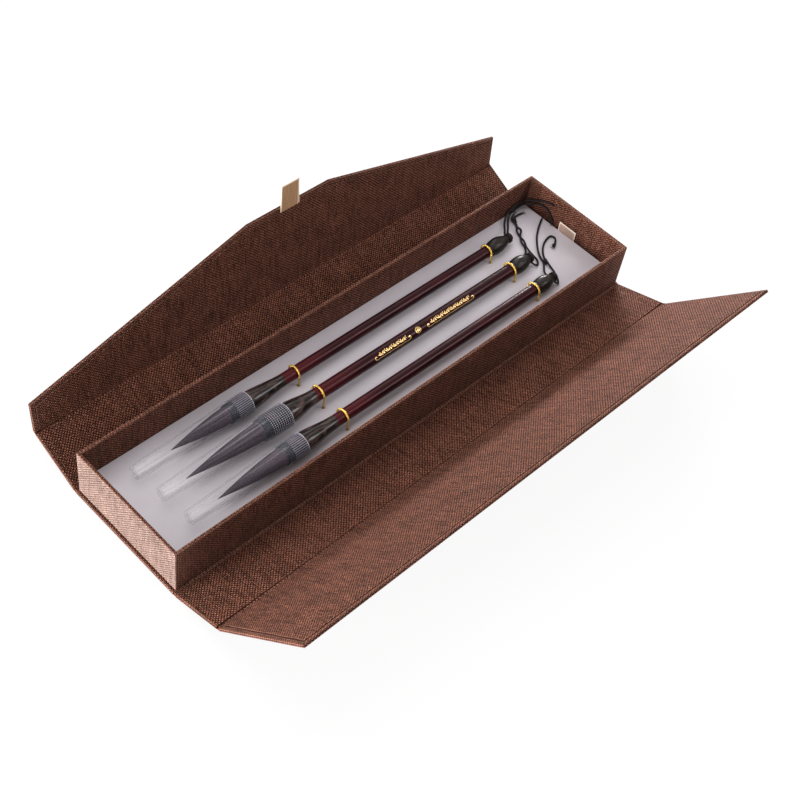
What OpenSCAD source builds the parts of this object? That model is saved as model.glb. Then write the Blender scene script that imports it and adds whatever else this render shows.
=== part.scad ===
// Cloth-covered gift case for three calligraphy brushes, shown open.
// The origin is the middle of the base board's underside; X runs along the case,
// +Y points to the rear lid with the pull ribbon, and Z points up.

/* [Tray] */
// Length of the tray
tray_l = 340; // [300:1:400]
// Width of the tray
tray_w = 78.5; // [76:0.5:110]
// Height of the tray walls above the base board
tray_h = 31.2; // [28:0.2:60]
// Thickness of the tray walls
wall_t = 2; // [1.5:0.1:3]
// Thickness of the tray floor
floor_t = 2; // [1.5:0.1:3]

/* [Cover boards] */
// Thickness of a cover board with its lining
board_t = 2.1; // [1.8:0.1:3]
// Thickness of the lining inside the cover
lining_t = 0.4; // [0.3:0.05:0.6]
// Bare margin round the lining
lining_margin = 3; // [2:0.5:6]
// How far the boards stand past each end of the tray
end_overhang = 1.7; // [0.5:0.1:4]
// Radius of the bead of cloth in a hinge
bead_r = 0.45; // [0.35:0.05:0.6]
// Thickness of the cloth between the boards
web_t = 0.5; // [0.3:0.05:0.6]
// Running gap round a hinge bead
bead_gap = 0.1; // [0.05:0.01:0.2]
// Gap between a closed board and what it closes against
closed_gap = 0.15; // [0.1:0.05:0.5]
// Gap between the two closed lids
lid_gap = 0.3; // [0.2:0.05:0.8]

/* [Lids] */
// Width of the rear lid at its two ends
rear_lid_end_w = 21.2; // [15:0.2:30]
// Width of the rear lid at its middle
rear_lid_mid_w = 60; // [50:0.5:68]
// Length of the straight edge at the rear lid's middle
rear_lid_flat_l = 59.4; // [40:0.2:90]
// Place of that middle along the case
lid_middle_x = 1.7; // [-5:0.1:5]
// Angle of the front side panel above the table
front_side_angle = 17.9; // [0:0.1:30]
// Angle of the front lid above the table
front_lid_angle = 46.7; // [30:0.1:60]
// Angle of the rear side panel above the table
rear_side_angle = 25.9; // [0:0.1:35]
// Angle of the rear lid above the table
rear_lid_angle = 85.8; // [60:0.1:100]

/* [Closure] */
// Diameter of a closing magnet
magnet_d = 10; // [8:0.5:12]
// Diameter of a steel plate under the front lid's lining
plate_d = 12; // [10:0.5:14]
// Thickness of a magnet
magnet_t = 1; // [0.6:0.1:1.2]
// Thickness of a steel plate
plate_t = 0.6; // [0.4:0.1:1]
// Distance between the two magnets
magnet_pitch = 44; // [30:1:60]
// Distance of the magnets from the rear lid's middle edge
magnet_inset = 13; // [10:0.5:20]
// Width of the pull ribbon
pull_w = 13.4; // [8:0.2:20]
// Thickness of the doubled pull ribbon
pull_t = 0.6; // [0.5:0.05:0.65]
// Length of the pull ribbon past the lid's edge
pull_l = 14.5; // [8:0.5:20]

/* [Insert] */
// Height of the foam under the card
foam_h = 7.7; // [6:0.1:10]
// Thickness of the card
card_t = 0.6; // [0.4:0.1:1.2]
// Gap between the insert and the tray walls
insert_gap = 0.4; // [0.3:0.1:1]
// Gap between the insert's foot and the tray floor
insert_lift_gap = 0.1; // [0.05:0.05:0.3]
// Gap at the end wall that the insert's ribbon runs through
ribbon_slot = 1.4; // [1.2:0.1:3]
// Width of the insert's ribbon
tab_w = 13.4; // [8:0.2:20]
// Thickness of the insert's ribbon
tab_t = 0.8; // [0.5:0.1:1]
// Height of the ribbon above the card
tab_up = 6.5; // [3:0.5:12]
// Place of the ribbon across the case
tab_y = 2.2; // [-20:0.1:20]

/* [Elastic loops] */
// Thickness of the gold elastic cord
loop_d = 1.1; // [0.8:0.1:1.6]
// Gap between a loop and the handle in it
loop_gap = 0.3; // [0.2:0.05:0.5]
// Diameter of a loop's hole in the card
loop_hole_d = 2; // [1.8:0.1:3]
// Diameter of the knot under the card
loop_knot_d = 2.6; // [2.2:0.1:3.2]
// Place of the loops by the ferrules
near_loop_x = -41.5; // [-50:0.5:-30]
// Place of the loops by the finials
far_loop_x = 112; // [100:0.5:120]

/* [Brushes] */
// Distance between the brushes
brush_pitch = 19.5; // [18:0.5:26]
// Gap between a brush and the card
rest_gap = 0.3; // [0.2:0.05:0.5]
// Gap between the far loop's middle and the finial
finial_setback = 1.3; // [1:0.1:4]
// Depth that handle and tuft are glued into the ferrule
socket_l = 8; // [4:0.5:12]
// Thickness of a glue joint
glue_t = 0.05; // [0.02:0.01:0.1]
// Radius of the narrow neck behind a finial's knob
neck_r = 2.3; // [2:0.1:2.8]
// Radius of a finial's knob
knob_r = 3.1; // [2.9:0.1:3.6]
// Thickness of the black hanging cord
cord_d = 1.2; // [0.8:0.1:1.3]

/* [Caps] */
// Running gap between a cap and its ferrule
cap_fit = 0.06; // [0.02:0.01:0.1]
// Wall of a cap's clear tube
cap_wall = 0.8; // [0.5:0.1:1.2]
// Diameter of a cap's closed end
cap_end_d = 8; // [6:0.5:9]

/* [Rear brush] */
// Diameter of the handle
rear_handle_d = 7; // [6:0.1:9]
// Diameter of the ferrule at its wide end
rear_ferrule_d = 11.2; // [10.4:0.1:11.6]
// Diameter of the cap's collar
rear_collar_d = 12.8; // [12.6:0.1:15]
// Greatest diameter of the finial
rear_finial_d = 9.8; // [8.5:0.1:11]
// Length of the finial
rear_finial_l = 20.5; // [15:0.5:22]
// Place of the joint between handle and ferrule
rear_joint_x = -50.4; // [-55:0.1:-46]
// Place of the cap's open end
rear_mouth_x = -74.7; // [-80:0.1:-68]
// Length of the cap's collar
rear_collar_l = 10.3; // [7:0.1:16]
// Length of the cap
rear_cap_l = 75.3; // [68:0.1:76]
// Length of the tuft that shows
rear_tuft_l = 37; // [30:0.5:42]

/* [Middle brush] */
// Diameter of the handle
middle_handle_d = 7.8; // [6:0.1:9]
// Diameter of the ferrule at its wide end
middle_ferrule_d = 12.6; // [11:0.1:13.1]
// Diameter of the cap's collar
middle_collar_d = 14.3; // [14.1:0.1:16]
// Greatest diameter of the finial
middle_finial_d = 10.2; // [9:0.1:11]
// Length of the finial
middle_finial_l = 18.5; // [15:0.5:22]
// Place of the joint between handle and ferrule
middle_joint_x = -44.8; // [-50:0.1:-44]
// Place of the cap's open end
middle_mouth_x = -65; // [-70:0.1:-60]
// Length of the cap's collar
middle_collar_l = 13.8; // [8:0.1:16]
// Length of the cap
middle_cap_l = 83; // [78:0.1:84]
// Length of the tuft that shows
middle_tuft_l = 49; // [40:0.5:52]

/* [Front brush] */
// Diameter of the handle
front_handle_d = 7.2; // [6:0.1:9]
// Diameter of the ferrule at its wide end
front_ferrule_d = 11.8; // [10.4:0.1:12.2]
// Diameter of the cap's collar
front_collar_d = 13.5; // [13.2:0.1:15]
// Greatest diameter of the finial
front_finial_d = 9.6; // [8.5:0.1:11]
// Length of the finial
front_finial_l = 18; // [15:0.5:22]
// Place of the joint between handle and ferrule
front_joint_x = -47.5; // [-52:0.1:-45]
// Place of the cap's open end
front_mouth_x = -70.9; // [-76:0.1:-66]
// Length of the cap's collar
front_collar_l = 9.5; // [7:0.1:14]
// Length of the cap
front_cap_l = 75.6; // [70:0.1:78]
// Length of the tuft that shows
front_tuft_l = 43; // [34:0.5:45]

/* [Hidden] */
$fn = 64;

// Colours
cloth = [0.40, 0.27, 0.21];
lining_cloth = [0.33, 0.21, 0.17];
steel = [0.6, 0.6, 0.62];
beige = [0.87, 0.75, 0.60];
card_white = [0.78, 0.74, 0.77];
gold = [0.83, 0.62, 0.18];
lacquer = [0.27, 0.05, 0.06];
horn = [0.16, 0.12, 0.11];
hair = [0.32, 0.27, 0.32];
clear = [0.75, 0.76, 0.82, 0.35];
black = [0.07, 0.06, 0.06];

// The case: hinge axes, closed heights and widths of the cover boards
board_l = tray_l + 2 * end_overhang;
inner_n = board_t - bead_r;
joint_gap = inner_n + closed_gap;
rim_z = board_t + tray_h;
hinge_y = tray_w / 2 + joint_gap;
front_lid_axis_z = rim_z + closed_gap + inner_n;
rear_lid_axis_z = front_lid_axis_z + bead_r + lid_gap + inner_n;
front_side_w = front_lid_axis_z - bead_r;
rear_side_w = rear_lid_axis_z - bead_r;
front_lid_w = hinge_y + tray_w / 2 - closed_gap / 2;
plate_v = 2 * hinge_y - (rear_lid_mid_w - magnet_inset);

// The insert
inner_l = tray_l - 2 * wall_t;
inner_w = tray_w - 2 * wall_t;
insert_x0 = -inner_l / 2 + insert_gap;
insert_x1 = inner_l / 2 - ribbon_slot;
insert_w = inner_w - 2 * insert_gap;
foam_z = board_t + floor_t + insert_lift_gap;
card_z = foam_z + foam_h;
card_top = card_z + card_t;

// The brushes: each rests on its cap's collar and on its finial
finial_x = far_loop_x + finial_setback;
bud_at = 0.4;

function tilt(collar_d, finial_d, mouth_x, finial_l) =
    atan((collar_d - finial_d) / 2 / (finial_x + bud_at * finial_l - mouth_x));
function axis_z(x, collar_d, finial_d, mouth_x, finial_l) =
    card_top + rest_gap + collar_d / 2
    - tan(tilt(collar_d, finial_d, mouth_x, finial_l)) * (x - mouth_x);
function rear_z(x) = axis_z(x, rear_collar_d, rear_finial_d, rear_mouth_x, rear_finial_l);
function middle_z(x) =
    axis_z(x, middle_collar_d, middle_finial_d, middle_mouth_x, middle_finial_l);
function front_z(x) = axis_z(x, front_collar_d, front_finial_d, front_mouth_x, front_finial_l);

// Routes of the hanging cords, from the finial's neck to the free end
rear_route_a = [
    [131.6, 21.5, 18.2], [133.2, 24.0, 17.0], [135.9, 26.0, 15.2], [139.2, 28.9, 14.0],
    [142.4, 32.0, 13.8], [145.8, 34.4, 14.9], [149.2, 35.6, 16.6], [152.8, 35.9, 18.0],
    [156.8, 36.1, 18.8], [160.8, 36.1, 18.6], [164.2, 35.0, 18.6], [166.4, 32.2, 19.6],
    [167.0, 28.8, 21.6], [167.0, 25.2, 23.8], [167.0, 21.2, 25.4], [167.0, 17.2, 26.4],
];
rear_route_b = [
    [131.8, 21.6, 15.8], [134.4, 23.4, 14.2], [137.8, 25.0, 13.4], [141.4, 27.9, 13.4],
    [144.9, 31.2, 13.5], [148.3, 34.0, 14.7], [152.2, 35.2, 16.0], [156.2, 35.7, 16.6],
    [160.2, 35.6, 16.2], [164.0, 34.2, 16.2], [166.2, 31.2, 17.4], [167.0, 27.8, 19.4],
    [167.0, 24.0, 20.8], [167.0, 20.2, 20.4], [166.8, 17.0, 18.2], [166.6, 14.6, 15.2],
];
middle_route_a = [
    [128.2, 2.1, 17.4], [130.2, 4.2, 16.2], [133.0, 5.8, 14.4], [135.8, 7.8, 13.4],
    [137.8, 10.8, 13.4], [139.0, 14.9, 14.3], [141.8, 18.3, 15.1], [146.0, 21.4, 14.4],
    [147.1, 25.0, 13.4], [148.8, 28.6, 13.5], [150.8, 31.2, 14.4], [154.4, 32.2, 13.6],
    [158.2, 31.8, 13.4],
];
middle_route_b = [
    [128.6, -1.9, 16.6], [130.4, -4.6, 14.8], [133.2, -4.6, 13.4], [135.7, -1.8, 13.4],
    [136.6, 1.8, 13.4], [137.1, 5.6, 13.7], [137.4, 9.2, 14.9], [140.6, 13.6, 14.0],
    [142.2, 18.3, 13.4], [143.6, 22.6, 14.0], [146.4, 25.6, 15.0], [147.6, 29.2, 14.9],
    [149.0, 32.0, 14.0], [152.0, 33.2, 15.0],
];
front_route_a = [
    [127.6, -17.5, 17.2], [129.2, -14.8, 15.4], [131.4, -11.6, 13.8], [134.4, -8.6, 13.5],
    [137.2, -5.6, 13.8], [138.8, -1.8, 13.5], [141.0, 1.8, 13.4], [143.8, 5.2, 13.4],
    [147.0, 8.6, 13.4], [150.4, 11.8, 13.4], [154.2, 14.6, 13.4], [158.2, 17.2, 13.4],
    [161.8, 19.2, 13.4], [164.6, 20.6, 13.4],
];
front_route_b = [
    [127.8, -21.7, 16.6], [130.0, -23.4, 14.6], [132.6, -21.8, 13.4], [135.0, -18.4, 13.4],
    [136.8, -14.6, 13.4], [138.0, -10.8, 13.5], [138.9, -7.0, 14.0], [140.6, -3.2, 13.5],
    [143.4, 0.4, 13.4], [146.6, 3.2, 13.4], [150.2, 5.4, 13.4], [154.2, 6.8, 13.4],
    [157.8, 7.0, 13.4], [158.8, 4.4, 13.4], [156.4, 1.8, 13.5], [153.2, 0.2, 13.8],
];
cord_sides = 8;

// Cover: a board seen flat, with its hinge axis on the X axis and its free side towards +Y
module sheet(y0, y1, z0, z1, len = board_l)
    translate([-len / 2, y0, z0]) cube([len, y1 - y0, z1 - z0]);

module hinge_cloth(y0) {
    translate([-board_l / 2, 0, 0]) rotate([0, 90, 0]) cylinder(r = bead_r, h = board_l);
    sheet(y0, 0, -bead_r, web_t - bead_r);
}

module at_side(angle) translate([0, hinge_y, bead_r]) rotate([angle, 0, 0]) children();

module at_lid(side_angle, side_w, lid_angle)
    at_side(side_angle) translate([0, side_w, 0])
        rotate([lid_angle - side_angle, 0, 0]) children();

module at_front_side() mirror([0, 1, 0]) at_side(front_side_angle) children();
module at_rear_side() at_side(rear_side_angle) children();
module at_front_lid()
    mirror([0, 1, 0]) at_lid(front_side_angle, front_side_w, front_lid_angle) children();
module at_rear_lid() at_lid(rear_side_angle, rear_side_w, rear_lid_angle) children();

module side_board(side_w)
    sheet(bead_r + bead_gap, side_w - joint_gap, -bead_r, inner_n - lining_t);

module side_lining(side_w)
    sheet(bead_r + bead_gap, side_w - joint_gap, inner_n - lining_t, inner_n,
        board_l - 2 * lining_margin);

module base_board() color(cloth)
    translate([-board_l / 2, -tray_w / 2, 0]) cube([board_l, tray_w, board_t]);

module base_hinge() translate([0, hinge_y, bead_r]) hinge_cloth(-joint_gap);
module front_base_hinge() color(cloth) mirror([0, 1, 0]) base_hinge();
module rear_base_hinge() color(cloth) base_hinge();

module front_side_panel() color(cloth) at_front_side() side_board(front_side_w);
module rear_side_panel() color(cloth) at_rear_side() side_board(rear_side_w);
module front_side_lining() color(lining_cloth) at_front_side() side_lining(front_side_w);
module rear_side_lining() color(lining_cloth) at_rear_side() side_lining(rear_side_w);

module lid_hinge(side_w) translate([0, side_w, 0]) hinge_cloth(-joint_gap);
module front_lid_hinge() color(cloth) at_front_side() lid_hinge(front_side_w);
module rear_lid_hinge() color(cloth) at_rear_side() lid_hinge(rear_side_w);

// Two round pockets, v from the hinge axis and opening under the lining
module pocket_pair(d, t, v)
    for (side = [-1, 1])
        translate([lid_middle_x + side * magnet_pitch / 2, v, inner_n - lining_t - t])
            cylinder(d = d, h = t);

module front_lid() color(cloth) at_front_lid() difference() {
    sheet(bead_r + bead_gap, front_lid_w, -bead_r, inner_n - lining_t);
    pocket_pair(plate_d, plate_t, plate_v);
}

module front_lid_lining() color(lining_cloth) at_front_lid()
    sheet(bead_r + bead_gap, front_lid_w - lining_margin, inner_n - lining_t, inner_n,
        board_l - 2 * lining_margin);

module front_lid_plates() color(steel) at_front_lid()
    pocket_pair(plate_d, plate_t, plate_v);

// Outline of the rear lid, kept m inside its edge at the ends and the free side
module flap_outline(m) {
    rise = rear_lid_mid_w - rear_lid_end_w;
    half = board_l / 2;
    flat = rear_lid_flat_l / 2;
    left = lid_middle_x - flat;
    right = lid_middle_x + flat;
    left_slope = rise / (left + half);
    right_slope = rise / (half - right);
    left_drop = m * sqrt(1 + left_slope * left_slope);
    right_drop = m * sqrt(1 + right_slope * right_slope);
    polygon([
        [-half + m, bead_r + bead_gap],
        [half - m, bead_r + bead_gap],
        [half - m, rear_lid_end_w + m * right_slope - right_drop],
        [right + (m - right_drop) / right_slope * -1, rear_lid_mid_w - m],
        [left + (m - left_drop) / left_slope, rear_lid_mid_w - m],
        [-half + m, rear_lid_end_w + m * left_slope - left_drop],
    ]);
}

module flap_plate(m, z0, z1)
    translate([0, 0, z0]) linear_extrude(z1 - z0) flap_outline(m);

module rear_lid() color(cloth) at_rear_lid() difference() {
    flap_plate(0, -bead_r, inner_n - lining_t);
    pocket_pair(magnet_d, magnet_t, rear_lid_mid_w - magnet_inset);
}

module rear_lid_lining() color(lining_cloth) at_rear_lid()
    flap_plate(lining_margin, inner_n - lining_t, inner_n);

module rear_lid_magnets() color(steel) at_rear_lid()
    pocket_pair(magnet_d, magnet_t, rear_lid_mid_w - magnet_inset);

module pull_ribbon() color(beige) at_rear_lid()
    translate([lid_middle_x - pull_w / 2, rear_lid_mid_w - lining_margin, inner_n - lining_t])
        cube([pull_w, lining_margin + pull_l, pull_t]);

// Tray
module tray_floor() color(cloth)
    translate([-inner_l / 2, -inner_w / 2, board_t]) cube([inner_l, inner_w, floor_t]);

module long_wall() translate([-tray_l / 2, inner_w / 2, board_t]) cube([tray_l, wall_t, tray_h]);
module tray_front_wall() color(cloth) mirror([0, 1, 0]) long_wall();
module tray_rear_wall() color(cloth) long_wall();

module end_wall() translate([inner_l / 2, -inner_w / 2, board_t]) cube([wall_t, inner_w, tray_h]);
module tray_left_wall() color(cloth) mirror([1, 0, 0]) end_wall();
module tray_right_wall() color(cloth) end_wall();

// Insert: a foam block under a card, both drilled for the elastic loops
function loop_r(handle_d) = handle_d / 2 + loop_gap + loop_d / 2;

module loop_holes(d, z0, h)
    for (x = [near_loop_x, far_loop_x], side = [-1, 1])
        for (b = [
            [brush_pitch, rear_handle_d], [0, middle_handle_d], [-brush_pitch, front_handle_d]
        ])
            translate([x, b[0] + side * loop_r(b[1]), z0]) cylinder(d = d, h = h);

module insert_sheet(z0, h)
    translate([insert_x0, -insert_w / 2, z0]) cube([insert_x1 - insert_x0, insert_w, h]);

module insert_foam() color("whitesmoke") difference() {
    insert_sheet(foam_z, foam_h);
    loop_holes(loop_knot_d + 2 * loop_gap, foam_z - 1, foam_h + 2);
}

module insert_card() color(card_white) difference() {
    insert_sheet(card_z, card_t);
    loop_holes(loop_hole_d, card_z - 1, card_t + 2);
}

module insert_ribbon() color(beige)
    translate([insert_x1, tab_y - tab_w / 2, foam_z])
        cube([tab_t, tab_w, foam_h + card_t + tab_up]);

// An elastic loop: a half ring over the handle, two legs and a knot on each
module elastic_loop(x, y, z, handle_d) {
    r = loop_r(handle_d);
    knot_z = card_z - loop_knot_d / 2;
    translate([x, y, z]) rotate([90, 0, 90])
        rotate_extrude(angle = 180) translate([r, 0]) circle(d = loop_d);
    for (side = [-1, 1]) {
        translate([x, y + side * r, knot_z]) cylinder(d = loop_d, h = z - knot_z);
        translate([x, y + side * r, knot_z]) sphere(d = loop_knot_d);
    }
}

module rear_near_loop() color(gold)
    elastic_loop(near_loop_x, brush_pitch, rear_z(near_loop_x), rear_handle_d);
module rear_far_loop() color(gold)
    elastic_loop(far_loop_x, brush_pitch, rear_z(far_loop_x), rear_handle_d);
module middle_near_loop() color(gold)
    elastic_loop(near_loop_x, 0, middle_z(near_loop_x), middle_handle_d);
module middle_far_loop() color(gold)
    elastic_loop(far_loop_x, 0, middle_z(far_loop_x), middle_handle_d);
module front_near_loop() color(gold)
    elastic_loop(near_loop_x, -brush_pitch, front_z(near_loop_x), front_handle_d);
module front_far_loop() color(gold)
    elastic_loop(far_loop_x, -brush_pitch, front_z(far_loop_x), front_handle_d);

// Brush parts, drawn along +X with x = 0 at the middle of the case
module on_rear() translate([0, brush_pitch, rear_z(0)])
    rotate([0, tilt(rear_collar_d, rear_finial_d, rear_mouth_x, rear_finial_l), 0]) children();
module on_middle() translate([0, 0, middle_z(0)])
    rotate([0, tilt(middle_collar_d, middle_finial_d, middle_mouth_x, middle_finial_l), 0])
        children();
module on_front() translate([0, -brush_pitch, front_z(0)])
    rotate([0, tilt(front_collar_d, front_finial_d, front_mouth_x, front_finial_l), 0])
        children();

// Turns an outline of [distance along X, radius] points round the X axis
module turned(outline)
    rotate([90, 0, 90]) rotate_extrude()
        polygon([for (p = outline) [p[1], p[0]]]);

module handle(d, joint_x) turned([
    [joint_x - socket_l, 0], [joint_x - socket_l, 0.7 * d / 2], [joint_x, 0.7 * d / 2],
    [joint_x, d / 2], [finial_x, d / 2], [finial_x, 0],
]);

// A horn ferrule flares in a smooth curve from the handle to its wide end
module ferrule(handle_d, wide_d, joint_x, mouth_x, end_x) {
    steps = 8;
    r0 = handle_d / 2 + 0.1;
    r1 = wide_d / 2;
    socket_r = 0.7 * handle_d / 2 + glue_t;
    root_r = 0.7 * wide_d / 2 + glue_t;
    flare = [for (i = [0:steps]) let(t = i / steps)
        [joint_x + (mouth_x - joint_x) * t, r0 + (r1 - r0) * t * t * (3 - 2 * t)]];
    turned(concat(flare, [
        [end_x, r1], [end_x, root_r], [end_x + socket_l, root_r],
        [end_x + socket_l, 0], [joint_x - socket_l, 0],
        [joint_x - socket_l, socket_r], [joint_x, socket_r],
    ]));
}

// A tuft swells a little from its root and runs to a fine tip
module tuft(wide_d, end_x, tuft_l) {
    steps = 10;
    root_r = 0.7 * wide_d / 2;
    full_r = 0.43 * wide_d;
    tip_r = 0.15;
    body = [for (i = [0:steps]) let(t = i / steps)
        [end_x - tuft_l * t, tip_r + (full_r - tip_r) * (1 - t * t) * (1 - 0.28 * t)]];
    turned(concat([[end_x + socket_l, 0], [end_x + socket_l, root_r], [end_x, root_r]],
        body, [[end_x - tuft_l, 0]]));
}

// A bud-shaped finial with a narrow neck and a round knob
module finial(handle_d, bud_d, len) {
    steps = 10;
    neck_x = finial_x + 0.84 * len;
    r0 = handle_d / 2;
    r1 = bud_d / 2;
    bud = [for (i = [0:steps]) let(
            t = i / steps,
            swell = t < bud_at
                ? r0 + (r1 - r0) * sin(90 * t / bud_at)
                : neck_r + (r1 - neck_r) * cos(90 * (t - bud_at) / (1 - bud_at)))
        [finial_x + (neck_x - finial_x) * t, swell]];
    knob_x = finial_x + 0.93 * len;
    knob_h = 0.07 * len;
    knob = [for (a = [0:22.5:90]) [knob_x + knob_h * sin(a), knob_r * cos(a)]];
    turned(concat([[finial_x, 0]], bud, [[neck_x + 0.03 * len, neck_r]], knob));
}

// A clear cap: a collar that grips the ferrule and a tube that narrows to a closed end
module cap(wide_d, collar_d, mouth_x, collar_l, len, end_x) {
    bore_r = wide_d / 2 + cap_fit;
    end_r = cap_end_d / 2;
    tube_r = bore_r + cap_wall * 0.8;
    step_x = mouth_x - collar_l;
    closed_x = mouth_x - len;
    turned([
        [mouth_x, bore_r], [mouth_x, collar_d / 2], [step_x, collar_d / 2 - 0.1],
        [step_x, tube_r], [closed_x + 1, end_r], [closed_x, end_r - 1], [closed_x, 0],
        [closed_x + cap_wall, 0], [closed_x + cap_wall, end_r - cap_wall],
        [end_x - 1, bore_r - 0.1], [end_x - 0.2, bore_r],
    ]);
}

function ferrule_end(mouth_x, collar_l) = mouth_x - collar_l - 4;
rear_end_x = ferrule_end(rear_mouth_x, rear_collar_l);
middle_end_x = ferrule_end(middle_mouth_x, middle_collar_l);
front_end_x = ferrule_end(front_mouth_x, front_collar_l);

module rear_handle() color(lacquer) on_rear() handle(rear_handle_d, rear_joint_x);
module middle_handle() color(lacquer) on_middle() handle(middle_handle_d, middle_joint_x);
module front_handle() color(lacquer) on_front() handle(front_handle_d, front_joint_x);

module rear_ferrule() color(horn) on_rear()
    ferrule(rear_handle_d, rear_ferrule_d, rear_joint_x, rear_mouth_x, rear_end_x);
module middle_ferrule() color(horn) on_middle()
    ferrule(middle_handle_d, middle_ferrule_d, middle_joint_x, middle_mouth_x, middle_end_x);
module front_ferrule() color(horn) on_front()
    ferrule(front_handle_d, front_ferrule_d, front_joint_x, front_mouth_x, front_end_x);

module rear_tuft() color(hair) on_rear() tuft(rear_ferrule_d, rear_end_x, rear_tuft_l);
module middle_tuft() color(hair) on_middle()
    tuft(middle_ferrule_d, middle_end_x, middle_tuft_l);
module front_tuft() color(hair) on_front() tuft(front_ferrule_d, front_end_x, front_tuft_l);

module rear_finial() color(black) on_rear()
    finial(rear_handle_d, rear_finial_d, rear_finial_l);
module middle_finial() color(black) on_middle()
    finial(middle_handle_d, middle_finial_d, middle_finial_l);
module front_finial() color(black) on_front()
    finial(front_handle_d, front_finial_d, front_finial_l);

module rear_cap() color(clear) on_rear()
    cap(rear_ferrule_d, rear_collar_d, rear_mouth_x, rear_collar_l, rear_cap_l, rear_end_x);
module middle_cap() color(clear) on_middle()
    cap(middle_ferrule_d, middle_collar_d, middle_mouth_x, middle_collar_l, middle_cap_l,
        middle_end_x);
module front_cap() color(clear) on_front()
    cap(front_ferrule_d, front_collar_d, front_mouth_x, front_collar_l, front_cap_l,
        front_end_x);

// A cord is a tube swept along its route, with its rings kept from twisting
function unit(v) = v / norm(v);
function heading(p, i) = unit(p[min(i + 1, len(p) - 1)] - p[max(i - 1, 0)]);
function square_to(n, t) = unit(n - (n * t) * t);
function sides_of(p) = [
    for (i = 0, n = square_to([0, 0, 1], heading(p, 0)); i < len(p);
        i = i + 1, n = i < len(p) ? square_to(n, heading(p, i)) : n) n
];

module cord(route) {
    last = len(route) - 1;
    side = sides_of(route);
    rings = [
        for (i = [0:last]) let(n = side[i], b = cross(heading(route, i), n))
            for (j = [0:cord_sides - 1]) let(a = 360 * j / cord_sides)
                route[i] + cord_d / 2 * (cos(a) * n + sin(a) * b)
    ];
    walls = [
        for (i = [0:last - 1], j = [0:cord_sides - 1]) let(
                a = i * cord_sides + j,
                b = i * cord_sides + (j + 1) % cord_sides)
            each [[a, a + cord_sides, b], [b, a + cord_sides, b + cord_sides]]
    ];
    start = [for (j = [0:cord_sides - 1]) j];
    end = [for (j = [cord_sides - 1:-1:0]) last * cord_sides + j];
    polyhedron(points = rings, faces = concat(walls, [start, end]));
}

module rear_cord_a() color(black) cord(rear_route_a);
module rear_cord_b() color(black) cord(rear_route_b);
module middle_cord_a() color(black) cord(middle_route_a);
module middle_cord_b() color(black) cord(middle_route_b);
module front_cord_a() color(black) cord(front_route_a);
module front_cord_b() color(black) cord(front_route_b);

// A knot round both strands, as a short round-ended barrel
module knot(from, to, d) {
    v = to - from;
    h = norm(v);
    start = [for (a = [90:-15:0]) [-d / 2 * sin(a), d / 2 * cos(a)]];
    end = [for (a = [0:15:90]) [h + d / 2 * sin(a), d / 2 * cos(a)]];
    translate(from) rotate([0, -asin(v[2] / h), atan2(v[1], v[0])])
        turned(concat(start, end));
}

module end_knot(route) {
    last = len(route) - 1;
    knot(route[last], route[last] + 0.4 * heading(route, last), 1.6 * cord_d);
}

module rear_cord_knots() color(black) {
    knot([151.4, 35.0, 16.7], [153.4, 35.1, 17.2], 2.8);
    end_knot(rear_route_b);
}
module middle_cord_knots() color(black)
    knot([148.3, 29.2, 14.5], [149.6, 31.2, 14.5], 3);
module front_cord_knots() color(black) {
    knot([137.4, -7.6, 14.4], [138.6, -5.0, 14.4], 3);
    end_knot(front_route_b);
}

base_board();
front_side_panel();
front_side_lining();
front_lid();
front_lid_lining();
front_lid_plates();
rear_side_panel();
rear_side_lining();
rear_lid();
rear_lid_lining();
rear_lid_magnets();
pull_ribbon();
front_base_hinge();
rear_base_hinge();
front_lid_hinge();
rear_lid_hinge();
tray_floor();
tray_front_wall();
tray_rear_wall();
tray_left_wall();
tray_right_wall();
insert_foam();
insert_card();
insert_ribbon();
rear_near_loop();
rear_far_loop();
middle_near_loop();
middle_far_loop();
front_near_loop();
front_far_loop();
rear_handle();
rear_ferrule();
rear_tuft();
rear_finial();
rear_cap();
rear_cord_a();
rear_cord_b();
rear_cord_knots();
middle_handle();
middle_ferrule();
middle_tuft();
middle_finial();
middle_cap();
middle_cord_a();
middle_cord_b();
middle_cord_knots();
front_handle();
front_ferrule();
front_tuft();
front_finial();
front_cap();
front_cord_a();
front_cord_b();
front_cord_knots();
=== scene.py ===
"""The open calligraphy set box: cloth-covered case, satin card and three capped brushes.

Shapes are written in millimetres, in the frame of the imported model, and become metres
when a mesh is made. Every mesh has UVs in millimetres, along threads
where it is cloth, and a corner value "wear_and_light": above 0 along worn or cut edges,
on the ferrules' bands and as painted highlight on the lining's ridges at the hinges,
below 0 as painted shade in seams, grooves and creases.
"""

import random
from math import atan, cos, dist, exp, hypot, pi, radians, remainder, sin
from types import SimpleNamespace

import bmesh
import bpy
from mathutils import Matrix, Vector
from mathutils.geometry import delaunay_2d_cdt


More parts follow.
